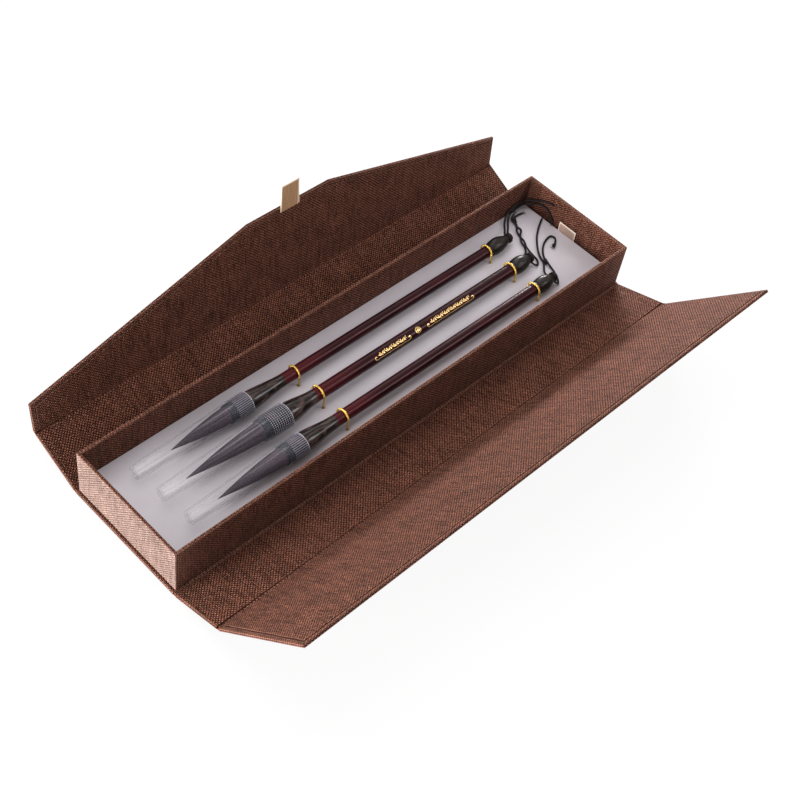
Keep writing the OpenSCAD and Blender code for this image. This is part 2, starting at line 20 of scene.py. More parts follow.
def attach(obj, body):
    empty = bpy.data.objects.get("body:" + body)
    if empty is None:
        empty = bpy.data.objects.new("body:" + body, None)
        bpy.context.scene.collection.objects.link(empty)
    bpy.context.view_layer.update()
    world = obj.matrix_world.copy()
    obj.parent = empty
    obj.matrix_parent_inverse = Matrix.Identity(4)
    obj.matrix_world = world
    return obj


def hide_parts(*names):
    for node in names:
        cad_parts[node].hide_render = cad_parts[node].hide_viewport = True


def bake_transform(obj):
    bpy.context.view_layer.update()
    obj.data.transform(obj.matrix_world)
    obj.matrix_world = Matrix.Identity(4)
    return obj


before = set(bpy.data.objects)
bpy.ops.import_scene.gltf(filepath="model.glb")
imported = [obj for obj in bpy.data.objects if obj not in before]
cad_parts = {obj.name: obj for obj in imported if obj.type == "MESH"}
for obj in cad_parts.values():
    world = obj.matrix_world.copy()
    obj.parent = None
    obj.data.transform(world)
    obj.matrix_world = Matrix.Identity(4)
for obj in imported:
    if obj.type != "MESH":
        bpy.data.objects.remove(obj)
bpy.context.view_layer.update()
random.seed(11)
MM = 0.001
TAU = 2 * pi


def add(name, data):
    """A new object in the scene."""
    made = bpy.data.objects.new(name, data)
    bpy.context.scene.collection.objects.link(made)
    return made


# Camera
def place_camera():
    data = bpy.data.cameras.new("camera")
    data.sensor_fit = "HORIZONTAL"
    data.sensor_width = 36
    data.lens = 64.72
    data.clip_start = 0.01
    camera = add("camera", data)
    at = Vector((-405.02, -334.33, 616.98))
    right = Vector((0.71180, -0.69219, 0.11921))
    up = Vector((0.48512, 0.60723, 0.62922))
    turn = Matrix((right, up, right.cross(up))).transposed().to_4x4()
    camera.matrix_world = Matrix.Translation(at * MM) @ turn
    bpy.context.scene.camera = camera


place_camera()


def parts(count):
    """0 to 1 in equal parts."""
    return [i / count for i in range(count + 1)]


def quarter(count):
    """The angles of a quarter turn in equal parts."""
    return [pi / 2 * i / count for i in range(count + 1)]


def circle(x, y, r, sides, extra=0):
    """Points round a circle, and extra ones that run on over its start."""
    angles = [TAU * i / sides for i in range(sides + extra)]
    return [(x + r * cos(a), y + r * sin(a)) for a in angles]


# Sizes from the CAD source, with a few of the dressing's own
HALF_L, HALF_W = 170, 39.25
WALL, BASE_T, RIM_Z = 2, 2.1, 33.3
BOARD_HALF = 171.7
HINGE_Y, BEAD, HINGE_CLOTH_W = 41.05, 0.45, 10.5
BOARD_TOP, LINING_TOP = 1.25, 1.65
EDGE_GAP, JOINT_GAP = 0.55, 1.8
MARGIN, SIDE_MARGIN = 3, 0.5
FRONT_SIDE_W, REAR_SIDE_W, FRONT_LID_W = 34.65, 37.05, 80.225
FRONT_SIDE_A, FRONT_LID_A, REAR_SIDE_A, REAR_LID_A = 17.9, 46.7, 25.9, 85.8
LID_X, LID_END_W, LID_MID_W, LID_FLAT = 1.7, 21.2, 60, 59.4
CARD_X0, CARD_X1, CARD_HALF_W, CARD_Z, CARD_TOP = -167.6, 166.6, 36.85, 11.9, 12.5
NEAR_X, FAR_X, LOOP_R = -41.5, 112, 0.55
TAB_L, TAB_W, PULL_L, PULL_W = 14.7, 13, 17.4, 12.6
FINIAL_X, NECK = 113.3, 0.862
SOCKET, HAIRS = 8, 210

BRUSHES = {
    "rear": SimpleNamespace(
        y=19.5, handle=7, ferrule=11.2, collar=12.8, finial=9.8, finial_l=20.5,
        joint=-50.4, mouth=-74.7, collar_l=10.3, cap_l=75.3, tuft_l=37,
    ),
    "middle": SimpleNamespace(
        y=0, handle=7.8, ferrule=12.6, collar=14.3, finial=10.2, finial_l=18.5,
        joint=-44.8, mouth=-65, collar_l=13.8, cap_l=83, tuft_l=49,
    ),
    "front": SimpleNamespace(
        y=-19.5, handle=7.2, ferrule=11.8, collar=13.5, finial=9.6, finial_l=18,
        joint=-47.5, mouth=-70.9, collar_l=9.5, cap_l=75.6, tuft_l=43,
    ),
}
for b in BRUSHES.values():
    b.slope = (b.collar - b.finial) / 2 / (FINIAL_X + 0.4 * b.finial_l - b.mouth)
    b.z0 = CARD_TOP + 0.3 + b.collar / 2 + b.slope * b.mouth
    b.end = b.mouth - b.collar_l - 4
    b.frame = Matrix.Translation(Vector((0, b.y, b.z0)) * MM) @ Matrix.Rotation(
        atan(b.slope), 4, "Y"
    )


def axis_z(b, x):
    """The height of a brush's axis at x."""
    return b.z0 - b.slope * x


ROUTES = {
    "rear_cord_a": [
        (131.6, 21.5, 18.2), (133.2, 24.0, 17.0), (135.9, 26.0, 15.2), (139.2, 28.9, 14.0),
        (142.4, 32.0, 13.8), (145.8, 34.4, 14.9), (149.2, 35.6, 16.6), (152.8, 35.9, 18.0),
        (156.8, 36.1, 18.8), (160.8, 36.1, 18.6), (164.2, 35.0, 18.6), (166.4, 32.2, 19.6),
        (167.0, 28.8, 21.6), (167.0, 25.2, 23.8), (167.0, 21.2, 25.4), (167.0, 17.2, 26.4),
    ],
    "rear_cord_b": [
        (131.8, 21.6, 15.8), (134.4, 23.4, 14.2), (137.8, 25.0, 13.4), (141.4, 27.9, 13.4),
        (144.9, 31.2, 13.5), (148.3, 34.0, 14.7), (152.2, 35.2, 16.0), (156.2, 35.7, 16.6),
        (160.2, 35.6, 16.2), (164.0, 34.2, 16.2), (166.2, 31.2, 17.4), (167.0, 27.8, 19.4),
        (167.0, 24.0, 20.8), (167.0, 20.2, 20.4), (166.8, 17.0, 18.2), (166.6, 14.6, 15.2),
    ],
    "middle_cord_a": [
        (128.2, 2.1, 17.4), (130.2, 4.2, 16.2), (133.0, 5.8, 14.4), (135.8, 7.8, 13.4),
        (137.8, 10.8, 13.4), (139.0, 14.9, 14.3), (141.8, 18.3, 15.1), (146.0, 21.4, 14.4),
        (147.1, 25.0, 13.4), (148.8, 28.6, 13.5), (150.8, 31.2, 14.4), (154.4, 32.2, 13.6),
        (158.2, 31.8, 13.4),
    ],
    "middle_cord_b": [
        (128.6, -1.9, 16.6), (130.4, -4.6, 14.8), (133.2, -4.6, 13.4), (135.7, -1.8, 13.4),
        (136.6, 1.8, 13.4), (137.1, 5.6, 13.7), (137.4, 9.2, 14.9), (140.6, 13.6, 14.0),
        (142.2, 18.3, 13.4), (143.6, 22.6, 14.0), (146.4, 25.6, 15.0), (147.6, 29.2, 14.9),
        (149.0, 32.0, 14.0), (152.0, 33.2, 15.0),
    ],
    "front_cord_a": [
        (127.6, -17.5, 17.2), (129.2, -14.8, 15.4), (131.4, -11.6, 13.8), (134.4, -8.6, 13.5),
        (137.2, -5.6, 13.8), (138.8, -1.8, 13.5), (141.0, 1.8, 13.4), (143.8, 5.2, 13.4),
        (147.0, 8.6, 13.4), (150.4, 11.8, 13.4), (154.2, 14.6, 13.4), (158.2, 17.2, 13.4),
        (161.8, 19.2, 13.4), (164.6, 20.6, 13.4),
    ],
    "front_cord_b": [
        (127.8, -21.7, 16.6), (130.0, -23.4, 14.6), (132.6, -21.8, 13.4), (135.0, -18.4, 13.4),
        (136.8, -14.6, 13.4), (138.0, -10.8, 13.5), (138.9, -7.0, 14.0), (140.6, -3.2, 13.5),
        (143.4, 0.4, 13.4), (146.6, 3.2, 13.4), (150.2, 5.4, 13.4), (154.2, 6.8, 13.4),
        (157.8, 7.0, 13.4), (158.8, 4.4, 13.4), (156.4, 1.8, 13.5), (153.2, 0.2, 13.8),
    ],
}
CORD_D, TIE_R, FRAY_L, SHORT_FRAY_L = 1.2, 2.62, 2.6, 1.0
TIE_KNOTS = {
    "rear": ((151.4, 35.0, 16.7), (153.4, 35.1, 17.2), 2.8),
    "middle": ((148.3, 29.2, 14.5), (149.6, 31.2, 14.5), 3),
    "front": ((137.4, -7.6, 14.4), (138.6, -5.0, 14.4), 3),
}


# Materials
def grey(value):
    return (value, value, value)


class Look:
    """A procedural material, built from its Principled shader outwards."""

    def __init__(self, name, **surface):
        self.material = bpy.data.materials.new(name)
        self.material.use_nodes = True
        self.tree = self.material.node_tree
        self.shader = self.tree.nodes["Principled BSDF"]
        self.set(**surface)
        coordinates = self.node("TexCoord", {})
        self.uv = coordinates["UV"]
        self.place = self.scaled(coordinates["Object"], (1000, 1000, 1000))

    def set(self, **surface):
        """Set inputs of the shader, and give back the material."""
        for key, value in surface.items():
            self.feed(self.shader.inputs[key.replace("_", " ")], value)
        return self.material

    def feed(self, socket, value):
        """Link a socket to another node's output, or set it to a constant."""
        if isinstance(value, bpy.types.NodeSocket):
            self.tree.links.new(value, socket)
        elif socket.type == "RGBA" and len(value) == 3:
            socket.default_value = (*value, 1)
        else:
            socket.default_value = value

    def node(self, kind, inputs, **settings):
        """Add a shader node, and give back its outputs."""
        made = self.tree.nodes.new("ShaderNode" + kind)
        for key, value in settings.items():
            setattr(made, key, value)
        for key, value in inputs.items():
            self.feed(made.inputs[key], value)
        return made.outputs

    def math(self, operation, a, b=0.0, c=0.0):
        return self.node("Math", {0: a, 1: b, 2: c}, operation=operation)[0]

    def times(self, a, b):
        return self.math("MULTIPLY", a, b)

    def times_plus(self, a, b, c):
        return self.math("MULTIPLY_ADD", a, b, c)

    def scaled(self, vector, by):
        return self.node("VectorMath", {0: vector, 1: by}, operation="MULTIPLY")[0]

    def split(self, vector):
        return self.node("SeparateXYZ", {0: vector})

    def noise(self, vector, scale, detail=2.0, roughness=0.5):
        """Noise over a vector. A scale for each axis stretches it."""
        if isinstance(scale, tuple):
            vector, scale = self.scaled(vector, scale), 1.0
        return self.node("TexNoise", {"Vector": vector, "Scale": scale, "Detail": detail,
                                      "Roughness": roughness})["Fac"]

    def range(self, value, low, high, new_low=0.0, new_high=1.0, kind="SMOOTHSTEP"):
        inputs = {"Value": value, "From Min": low, "From Max": high, "To Min": new_low,
                  "To Max": new_high}
        return self.node("MapRange", inputs, interpolation_type=kind)["Result"]

    def mix(self, factor, a, b, blend="MIX"):
        return self.node("Mix", {0: factor, 6: a, 7: b}, data_type="RGBA", blend_type=blend)[2]

    def blend(self, factor, a, b):
        return self.node("Mix", {0: factor, 2: a, 3: b}, data_type="FLOAT")[0]

    def ramp(self, value, *stops):
        made = self.tree.nodes.new("ShaderNodeValToRGB")
        self.feed(made.inputs[0], value)
        places = made.color_ramp.elements
        while len(places) < len(stops):
            places.new(0.5)
        for element, (at, colour) in zip(places, stops):
            element.position = at
            element.color = (*colour, 1)
        return made.outputs["Color"]

    def tinted(self, colour, value, *stops):
        """A colour times a ramp over a value."""
        return self.mix(1.0, colour, self.ramp(value, *stops), "MULTIPLY")

    def bump(self, height, distance, strength=1.0, normal=None):
        inputs = {"Height": height, "Distance": distance * MM, "Strength": strength}
        if normal is not None:
            inputs["Normal"] = normal
        return self.node("Bump", inputs)["Normal"]

    def wear_and_light(self):
        return self.node("Attribute", {}, attribute_name="wear_and_light")["Fac"]


def cloth(name, gap, dark, mid, light, edge):
    """Plain-woven book cloth: pale slubbed warp over dark weft, with shadow between.
    Where wear_and_light is negative it paints shade: the cloth in seams, grooves and creases turns
    nearly black."""
    look = Look(name, Roughness=0.75, Sheen_Weight=0.015, Sheen_Roughness=0.5,
                Sheen_Tint=(1.0, 0.86, 0.8, 1), Specular_IOR_Level=0.04)
    sway = look.node("TexNoise", {"Vector": look.uv, "Scale": 0.035, "Detail": 1.0})["Color"]
    moved = look.node("VectorMath", {0: sway, 1: (0.5, 0.5, 0.5), 2: look.uv},
                      operation="MULTIPLY_ADD")[0]
    at = look.split(moved)
    counts = [look.times(at[axis], 1 / THREAD_PITCH) for axis in "XY"]
    waves = [look.math("SINE", look.times(count, pi)) for count in counts]
    over = look.range(look.times(*waves), -0.22, 0.22)
    across, along = (look.math("ABSOLUTE", wave) for wave in waves)
    warp = look.times(look.math("POWER", across, 0.6),
                      look.range(along, 0, 1, 0.4, 1, "LINEAR"))
    weft = look.times(look.math("POWER", along, 0.6),
                      look.range(across, 0, 1, 0.35, 0.8, "LINEAR"))
    height = look.blend(over, weft, warp)
    slubs = look.noise(look.uv, 0.9, 3.0, 0.65)
    tones = []
    for count, axis in zip(counts, "YX"):
        thread = look.node("CombineXYZ", {0: look.times(look.math("FLOOR", count), 1.7),
                                          1: look.times(at[axis], 0.07)})[0]
        tones.append(look.noise(thread, 1.0, 2.0, 0.6))
    pale = look.mix(look.range(look.times_plus(slubs, 0.6, tones[0]), 0.42, 1.08), mid, light)
    deep = look.mix(look.range(tones[1], 0.4, 0.9), dark, mid)
    colour = look.mix(look.range(height, 0.12, 0.8), gap, look.mix(over, deep, pale))
    for tone in tones:
        colour = look.tinted(colour, tone, (0.36, grey(0.92)), (0.64, (1.07, 1.06, 1.06)))
    flecks = look.noise(look.uv, 1.5, 2.0, 0.6)
    # Pale flecks on the thread crowns are painted glints.
    fleck = look.times(look.range(flecks, 0.54, 0.68), look.range(height, 0.2, 0.6))
    colour = look.mix(look.times(fleck, 0.5), colour, look.mix(0.45, light, (1, 0.68, 0.56)))
    colour = look.mix(look.range(flecks, 0.32, 0.47, 0.55, 0), colour, gap)
    patches = look.noise(look.uv, 0.055, 3.0, 0.6)
    colour = look.tinted(colour, patches, (0.3, grey(0.84)), (0.7, (1.1, 1.08, 1.07)))
    # Positive wear_and_light lightens worn edges and paints highlights on the hinge ridges.
    rub_and_highlight = look.times(look.wear_and_light(), look.range(slubs, 0.3, 0.7, 0.1, 0.8))
    rub_and_highlight = look.times(rub_and_highlight, look.range(height, 0.1, 0.8))
    # Negative wear_and_light paints shade in seams and creases.
    seam = look.range(look.wear_and_light(), 0, -0.7, 0, 0.92)
    return look.set(Base_Color=look.mix(seam, look.mix(rub_and_highlight, colour, edge), gap),
                    Normal=look.bump(look.times_plus(slubs, 0.4, height), 0.3))


def satin(name, colour, fold, thread=(0.6, 9, 1), roughness=0.42, sheen=0.4, dim=0.9):
    """Satin: fine parallel threads with a soft sheen and a slow wave."""
    look = Look(name, Roughness=roughness, Sheen_Weight=sheen, Sheen_Roughness=0.35,
                Specular_IOR_Level=0.5)
    threads = look.noise(look.uv, thread, 2.0, 0.6)
    slow = look.noise(look.uv, 0.035)
    tint = look.tinted(colour, threads, (0.25, grey(dim)), (0.75, grey(1.08)))
    tint = look.tinted(tint, slow, (0.3, (0.95, 0.945, 0.955)), (0.7, grey(1.03)))
    return look.set(Base_Color=look.mix(look.wear_and_light(), tint, fold),
                    Normal=look.bump(threads, 0.03, 0.5, look.bump(slow, 1.2, 0.35)))


def lacquer():
    """Deep red lacquer over wood: a dark grain under a clear, faintly uneven coat."""
    look = Look("lacquered wood", Roughness=0.3, Coat_Weight=0.03, Coat_Roughness=0.08,
                Coat_IOR=1.5, Specular_IOR_Level=0.14, Specular_Tint=(1, 0.55, 0.58, 1))
    grain = look.noise(look.place, (0.05, 1.1, 1.1), 4.0, 0.62)
    pores = look.noise(look.place, (0.22, 6, 6))
    colour = look.ramp(look.times_plus(pores, 0.25, grain), (0.45, (0.004, 0.001, 0.0015)),
                       (0.62, (0.013, 0.002, 0.003)), (0.82, (0.045, 0.006, 0.008)))
    redder = look.range(look.split(look.place)["X"], -5, -46, 0, 0.7)
    return look.set(Base_Color=look.mix(redder, colour, (0.070, 0.007, 0.010)),
                    Normal=look.bump(look.noise(look.place, (0.08, 0.6, 0.6)), 0.05, 0.35))


def horn():
    """Dark polished horn with grey-brown streaks along its length and paler clouds."""
    look = Look("horn", Roughness=0.28, Coat_Weight=0.25, Coat_Roughness=0.07,
                Coat_IOR=1.45, Specular_IOR_Level=0.08)
    bent = look.noise(look.place, 0.09)
    swirl = look.node("CombineXYZ", {0: 0.0, 1: look.times(bent, 3.2),
                                     2: look.times(bent, 2.0)})[0]
    moved = look.node("VectorMath", {0: look.scaled(look.place, (0.045, 0.75, 0.75)), 1: swirl},
                      operation="ADD")[0]
    streaks = look.noise(moved, 1.0, 5.0, 0.66)
    clouds = look.noise(look.place, (0.1, 0.17, 0.17))
    colour = look.ramp(streaks, (0.40, (0.004, 0.003, 0.003)), (0.52, (0.018, 0.012, 0.011)),
                       (0.60, (0.075, 0.046, 0.040)), (0.72, (0.012, 0.009, 0.009)))
    colour = look.mix(look.range(clouds, 0.55, 0.72, 0, 0.6), colour, (0.17, 0.095, 0.082))
    return look.set(Base_Color=look.mix(look.wear_and_light(), colour, (0.022, 0.024, 0.032)),
                    Normal=look.bump(streaks, 0.05, 0.3))


def hair():
    """Grey-brown brush hair with a soft gloss, darker at the tip."""
    look = Look("hair", Roughness=0.45, Specular_IOR_Level=0.2)
    strands = look.noise(look.uv, (0.025, 2.2, 1), 3.0, 0.65)
    root = look.range(look.split(look.place)["X"], -132, -80)
    colour = look.ramp(strands, (0.3, (0.028, 0.018, 0.026)), (0.52, (0.078, 0.054, 0.070)),
                       (0.72, (0.180, 0.128, 0.155)))
    tip = look.mix(1.0, colour, (0.72, 0.62, 0.72), "MULTIPLY")
    return look.set(Base_Color=look.mix(root, tip, colour),
                    Normal=look.bump(strands, 0.06, 0.5))


def gold_elastic():
    """Elastic wound with gold thread: fine slanting turns that glitter."""
    look = Look("gold elastic", Metallic=0.75, Roughness=0.34, Specular_IOR_Level=0.5)
    at = look.split(look.uv)
    slant = look.times_plus(at["Y"], 0.8, at["X"])
    turns = look.math("SINE", look.times(slant, TAU / 0.28))
    fleck = look.noise(look.uv, 2.2, 2.0, 0.7)
    colour = look.ramp(look.times_plus(turns, 0.12, fleck), (0.3, (0.32, 0.150, 0.020)),
                       (0.5, (0.78, 0.44, 0.060)), (0.7, (1.0, 0.72, 0.20)))
    return look.set(Base_Color=colour, Normal=look.bump(turns, 0.04, 0.7))


def clear_plastic():
    """Thin clear plastic: a grey outline, faint pale marks along the tube that are partly painted
    highlight streaks, a milky end.
    """
    look = Look("clear plastic", Roughness=0.28, IOR=1.8, Specular_IOR_Level=0.4)
    outline = look.range(look.node("LayerWeight", {"Blend": 0.5})["Facing"], 0.5, 0.9)
    streaks = look.noise(look.place, (0.008, 0.5, 0.5), 1.0)
    # Pale marks along the tube: extrusion marks in the plastic that also serve as painted highlight
    # streaks.
    lines = look.range(streaks, 0.54, 0.66)
    milky = look.times(look.range(look.split(look.place)["X"], -118, -146),
                       look.range(streaks, 0.35, 0.55, 0.1))
    tint = look.mix(look.math("MAXIMUM", lines, milky), (0.45, 0.44, 0.50), (0.98, 0.97, 1.0))
    veil = look.times_plus(lines, 0.06, look.times_plus(milky, 0.09, 0.03))
    return look.set(Base_Color=look.mix(outline, tint, (0.19, 0.185, 0.22)),
                    Alpha=look.times_plus(outline, 0.3, veil))


def ribbed_plastic(name, ribs, pitch, dark, pale, clearest, densest):
    """Smoky ribbed plastic. Its ribs run along the cap, and a pitch cuts them into studs."""
    look = Look(name, Roughness=0.2, IOR=1.5, Specular_IOR_Level=0.25)
    at = look.split(look.place)
    angle = look.math("ARCTAN2", at["Z"], at["Y"])
    rib = look.times_plus(look.math("COSINE", look.times(angle, ribs)), 0.5, 0.5)
    if pitch:
        turn = look.times(at["X"], TAU / pitch)
        cell = look.times_plus(look.math("COSINE", turn), 0.5, 0.5)
        rib = look.times(look.math("POWER", rib, 0.7), cell)
    # Crests paler and denser than the valleys: painted highlight on the crests, painted shade in
    # the valleys.
    return look.set(Base_Color=look.mix(rib, dark, pale),
                    Alpha=look.blend(rib, clearest, densest))


def rim_plastic():
    """The thick lip of a cap, whitened where light gathers in its edge."""
    look = Look("cap rim", Roughness=0.15, IOR=1.5, Specular_IOR_Level=0.5)
    cloudy = look.noise(look.place, 0.6)
    colour = look.ramp(cloudy, (0.3, (0.35, 0.33, 0.40)), (0.7, (0.72, 0.70, 0.77)))
    return look.set(Base_Color=colour, Alpha=look.range(cloudy, 0.3, 0.7, 0.45, 0.8))


def foam():
    """Pale foam with open cells."""
    look = Look("white foam", Roughness=0.9, Specular_IOR_Level=0.2)
    cells = look.node("TexVoronoi", {"Vector": look.place, "Scale": 1.6})[0]
    # Darker in the hollows of the cells: painted shade.
    colour = look.ramp(cells, (0.1, (0.55, 0.54, 0.52)), (0.5, (0.82, 0.81, 0.79)))
    return look.set(Base_Color=colour, Normal=look.bump(cells, 0.3, 0.8))


def steel():
    """Plated steel with scuffs that are brighter and rougher."""
    look = Look("plated steel", Metallic=1.0, Roughness=0.3)
    scuffs = look.noise(look.place, (0.3, 3, 1), 4.0, 0.7)
    return look.set(Base_Color=look.ramp(scuffs, (0.3, (0.42, 0.42, 0.43)), (0.7, grey(0.66))),
                    Roughness=look.range(scuffs, 0.3, 0.7, 0.22, 0.42),
                    Normal=look.bump(scuffs, 0.02, 0.4))


def grained(name, over, noise, stops, bump, **surface):
    """A surface that one noise, over its UVs or its place, both colours and embosses."""
    look = Look(name, **surface)
    grain = look.noise(getattr(look, over), *noise)
    return look.set(Base_Color=look.ramp(grain, *stops), Normal=look.bump(grain, *bump))


THREAD_PITCH = 0.95
RIBS, STUDS, STUD_PITCH = 36, 40, 1.35
GAP, WEFT = (0.005, 0.0015, 0.0008), (0.020, 0.006, 0.003)

BOOK_CLOTH = cloth("book cloth", GAP, WEFT, (0.080, 0.0235, 0.012), (0.370, 0.137, 0.086),
                   (0.37, 0.18, 0.13))
LINING = cloth("lining cloth", GAP, WEFT, (0.077, 0.022, 0.0105), (0.355, 0.130, 0.079),
               (0.34, 0.16, 0.11))
# A paler copy of the book cloth for the left end wall's outer face: painted sheen from the low left
# light.
SHEEN_PAINTED_END_CLOTH = cloth("end wall cloth with painted sheen", (0.020, 0.010, 0.008), (0.115, 0.068, 0.054),
                  (0.215, 0.137, 0.112), (0.47, 0.335, 0.285), (0.52, 0.36, 0.30))
CARD = satin("satin card", (0.545, 0.50, 0.53), (0.72, 0.62, 0.47))
RIBBON = satin("satin ribbon", (0.50, 0.29, 0.15), (0.88, 0.76, 0.60), (1.6, 0.08, 1), 0.38,
               0.15, 0.6)
TAB = satin("tab ribbon", (0.40, 0.265, 0.205), (0.80, 0.66, 0.55), (1.6, 0.08, 1), 0.4,
            0.15, 0.8)
LACQUER, HORN, HAIR, GOLD = lacquer(), horn(), hair(), gold_elastic()
CLEAR, RIM, STEEL, FOAM = clear_plastic(), rim_plastic(), steel(), foam()
RIBBED = ribbed_plastic("ribbed plastic", RIBS, 0, (0.030, 0.028, 0.040),
                        (0.31, 0.29, 0.35), 0.34, 0.62)
STUDDED = ribbed_plastic("studded plastic", STUDS, STUD_PITCH, (0.020, 0.019, 0.028),
                         (0.42, 0.40, 0.46), 0.36, 0.78)
BLACK_WOOD = grained(
    "black wood", "place", ((0.12, 1.2, 1.2), 4.0, 0.65),
    ((0.42, (0.007, 0.005, 0.004)), (0.62, (0.017, 0.011, 0.008)), (0.75, (0.042, 0.024, 0.015))),
    (0.06, 0.35), Roughness=0.34, Specular_IOR_Level=0.2)
CORD = grained(
    "black cord", "uv", ((1.6, 7, 1), 2.0, 0.6),
    ((0.35, (0.004, 0.003, 0.004)), (0.8, (0.038, 0.030, 0.030))),
    (0.06, 0.7), Roughness=0.45, Specular_IOR_Level=0.12)
FOIL = grained(
    "gold foil", "place", (1.8, 3.0, 0.7),
    ((0.3, (0.42, 0.20, 0.06)), (0.5, (0.92, 0.60, 0.22)), (0.75, (1.0, 0.82, 0.46))),
    (0.02, 0.4), Metallic=0.5, Roughness=0.36)


# Mesh making
class Shape:
    """Points and faces in millimetres, with a UV and a wear_and_light value at every corner."""

    def __init__(self):
        self.points, self.faces, self.uvs, self.wear_and_light, self.slots = [], [], [], [], []

    def point(self, p):
        self.points.append(tuple(p))
        return len(self.points) - 1

    def face(self, corners, uvs, wear_and_light=0.0, slot=0):
        self.faces.append(corners)
        self.uvs.extend(uvs)
        self.wear_and_light.extend([wear_and_light] * len(corners) if isinstance(wear_and_light, (int, float)) else wear_and_light)
        self.slots.append(slot)

    def grid(self, rows, uvs, wear_and_light=None, closed=False, slot=0):
        """Quads between rows of points. Closed rows have one more UV and wear_and_light value than
        points.
        """
        ids = [[self.point(p) for p in row] for row in rows]
        count = len(ids[0])
        for i in range(len(ids) - 1):
            kind = slot[i] if isinstance(slot, list) else slot
            for j in range(count if closed else count - 1):
                k = (j + 1) % count
                at = ((i, j, j), (i, k, j + 1), (i + 1, k, j + 1), (i + 1, j, j))
                self.face(
                    [ids[a][c] for a, c, _ in at],
                    [uvs[a][c] for a, _, c in at],
                    [wear_and_light[a][c] for a, _, c in at] if wear_and_light else 0.0,
                    kind,
                )
        return ids

    def build(self, name, materials, place=Matrix(), sharp=35, weld=True):
        mesh = bpy.data.meshes.new(name)
        mesh.from_pydata([Vector(p) * MM for p in self.points], [], self.faces)
        layer = mesh.uv_layers.new(name="UVMap")
        layer.data.foreach_set("uv", [c for uv in self.uvs for c in uv])
        wear_and_light = mesh.attributes.new("wear_and_light", "FLOAT", "CORNER")
        wear_and_light.data.foreach_set("value", self.wear_and_light)
        mesh.polygons.foreach_set("material_index", self.slots)
        work = bmesh.new()
        work.from_mesh(mesh)
        if weld:
            bmesh.ops.remove_doubles(work, verts=work.verts, dist=1e-7)
            bmesh.ops.dissolve_degenerate(work, edges=work.edges, dist=1e-8)
        bmesh.ops.recalc_face_normals(work, faces=work.faces)
        work.to_mesh(mesh)
        work.free()
        for material in materials if isinstance(materials, (list, tuple)) else [materials]:
            mesh.materials.append(material)
        mesh.shade_smooth()
        mesh.set_sharp_from_angle(angle=radians(sharp))
        made = add(name, mesh)
        made.matrix_world = place
        bpy.context.view_layer.update()
        return made


def dress(made, body, slot, *nodes):
    """The piece moves with a body and stands for CAD nodes, which it hides. The slot is not used.
    """
    if body:
        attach(made, body)
    if nodes:
        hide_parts(*nodes)
    return made


def inset(outline, d):
    """The corners of a counter-clockwise outline, moved d inside its edges."""
    moved = []
    for i, p in enumerate(outline):
        before = (p - outline[i - 1]).normalized()
        after = (outline[(i + 1) % len(outline)] - p).normalized()
        a, b = Vector((-before.y, before.x)), Vector((-after.y, after.x))
        moved.append(p + d / (1 + a.dot(b)) * (a + b))
    return moved


def rounded(z0, z1, r, steps=4, fade=0.7):
    """Profile (inset, z, wear_and_light) of a board's edge, from its upper face round to its lower.
    """
    top = [(r + fade, z1, 0.0)]
    for a in quarter(steps):
        top.append((r - r * sin(a), z1 - r + r * cos(a), 0.35 + 0.65 * sin(2 * a)))
    return top + [(d, z0 + z1 - z, w) for d, z, w in reversed(top)]


def cover_profile(z0, z1, seam):
    """A cover's edge: the turned-in cloth meets along it, and dips beside the lining's seam."""
    profile = rounded(z0, z1, 0.42)
    half, middle = len(profile) // 2, (z0 + z1) / 2
    # The join's middle and the dip's bottom take wear_and_light -1, painted shade; their lips are
    # lightened.
    join = [(0, middle + 0.26, 0.4), (0.22, middle, -1.0), (0, middle - 0.26, 0.4)]
    dip = [(seam + 0.05, z1, 0.0), (seam - 0.08, z1 - 0.35, -1.0), (seam - 0.25, z1 - 0.3, -1.0),
           (seam - 0.5, z1, 0.6)]
    return (dip if seam else []) + profile[:half] + join + profile[half:]


def board(shape, outline, profile):
    """Cloth wrapped round a flat board. Its threads run on over every edge."""
    rings = [inset(outline, d) for d, _, _ in profile]
    ids = [[shape.point((p.x, p.y, z)) for p in ring] for ring, (_, z, _) in zip(rings, profile)]
    run = run_along(profile)
    count = len(outline)
    for k in range(count):
        n = (k + 1) % count
        along = (outline[n] - outline[k]).normalized()
        out = Vector((along.y, -along.x))
        reach = outline[k].dot(out) - profile[0][0]

        def uv(i, c):
            return along * rings[i][c].dot(along) + out * (reach + run[i])

        for i in range(len(profile) - 1):
            w0, w1 = profile[i][2], profile[i + 1][2]
            shape.face([ids[i][k], ids[i][n], ids[i + 1][n], ids[i + 1][k]],
                       [uv(i, k), uv(i, n), uv(i + 1, n), uv(i + 1, k)], [w0, w0, w1, w1])
    shape.face(ids[0], [tuple(p) for p in rings[0]])
    shape.face(ids[-1][::-1], [tuple(p) for p in rings[-1][::-1]])


def run_along(points):
    """The distance from the first point to each point, in the plane of their first two values."""
    run = [0.0]
    for p, q in zip(points, points[1:]):
        run.append(run[-1] + dist(p[:2], q[:2]))
    return run


def rectangle(x0, x1, y0, y1):
    return [Vector(p) for p in ((x0, y0), (x1, y0), (x1, y1), (x0, y1))]


def turned(shape, outline, sides, radius=None, slot=0, wear_and_light=None):
    """An outline of (x, r) turned round the X axis. radius(x, r, angle) may shape it."""
    rows, uvs, marks = [], [], []
    girth = max(r for _, r in outline)
    for i, ((x, r), run) in enumerate(zip(outline, run_along(outline))):
        row = []
        for j in range(sides):
            a = TAU * j / sides
            rr = radius(x, r, a) if radius and r > 1e-6 else r
            row.append((x, rr * cos(a), rr * sin(a)))
        rows.append(row)
        uvs.append([(run, girth * TAU * j / sides) for j in range(sides + 1)])
        marks.append([wear_and_light[i] if wear_and_light else 0.0] * (sides + 1))
    shape.grid(rows, uvs, marks, True, slot)


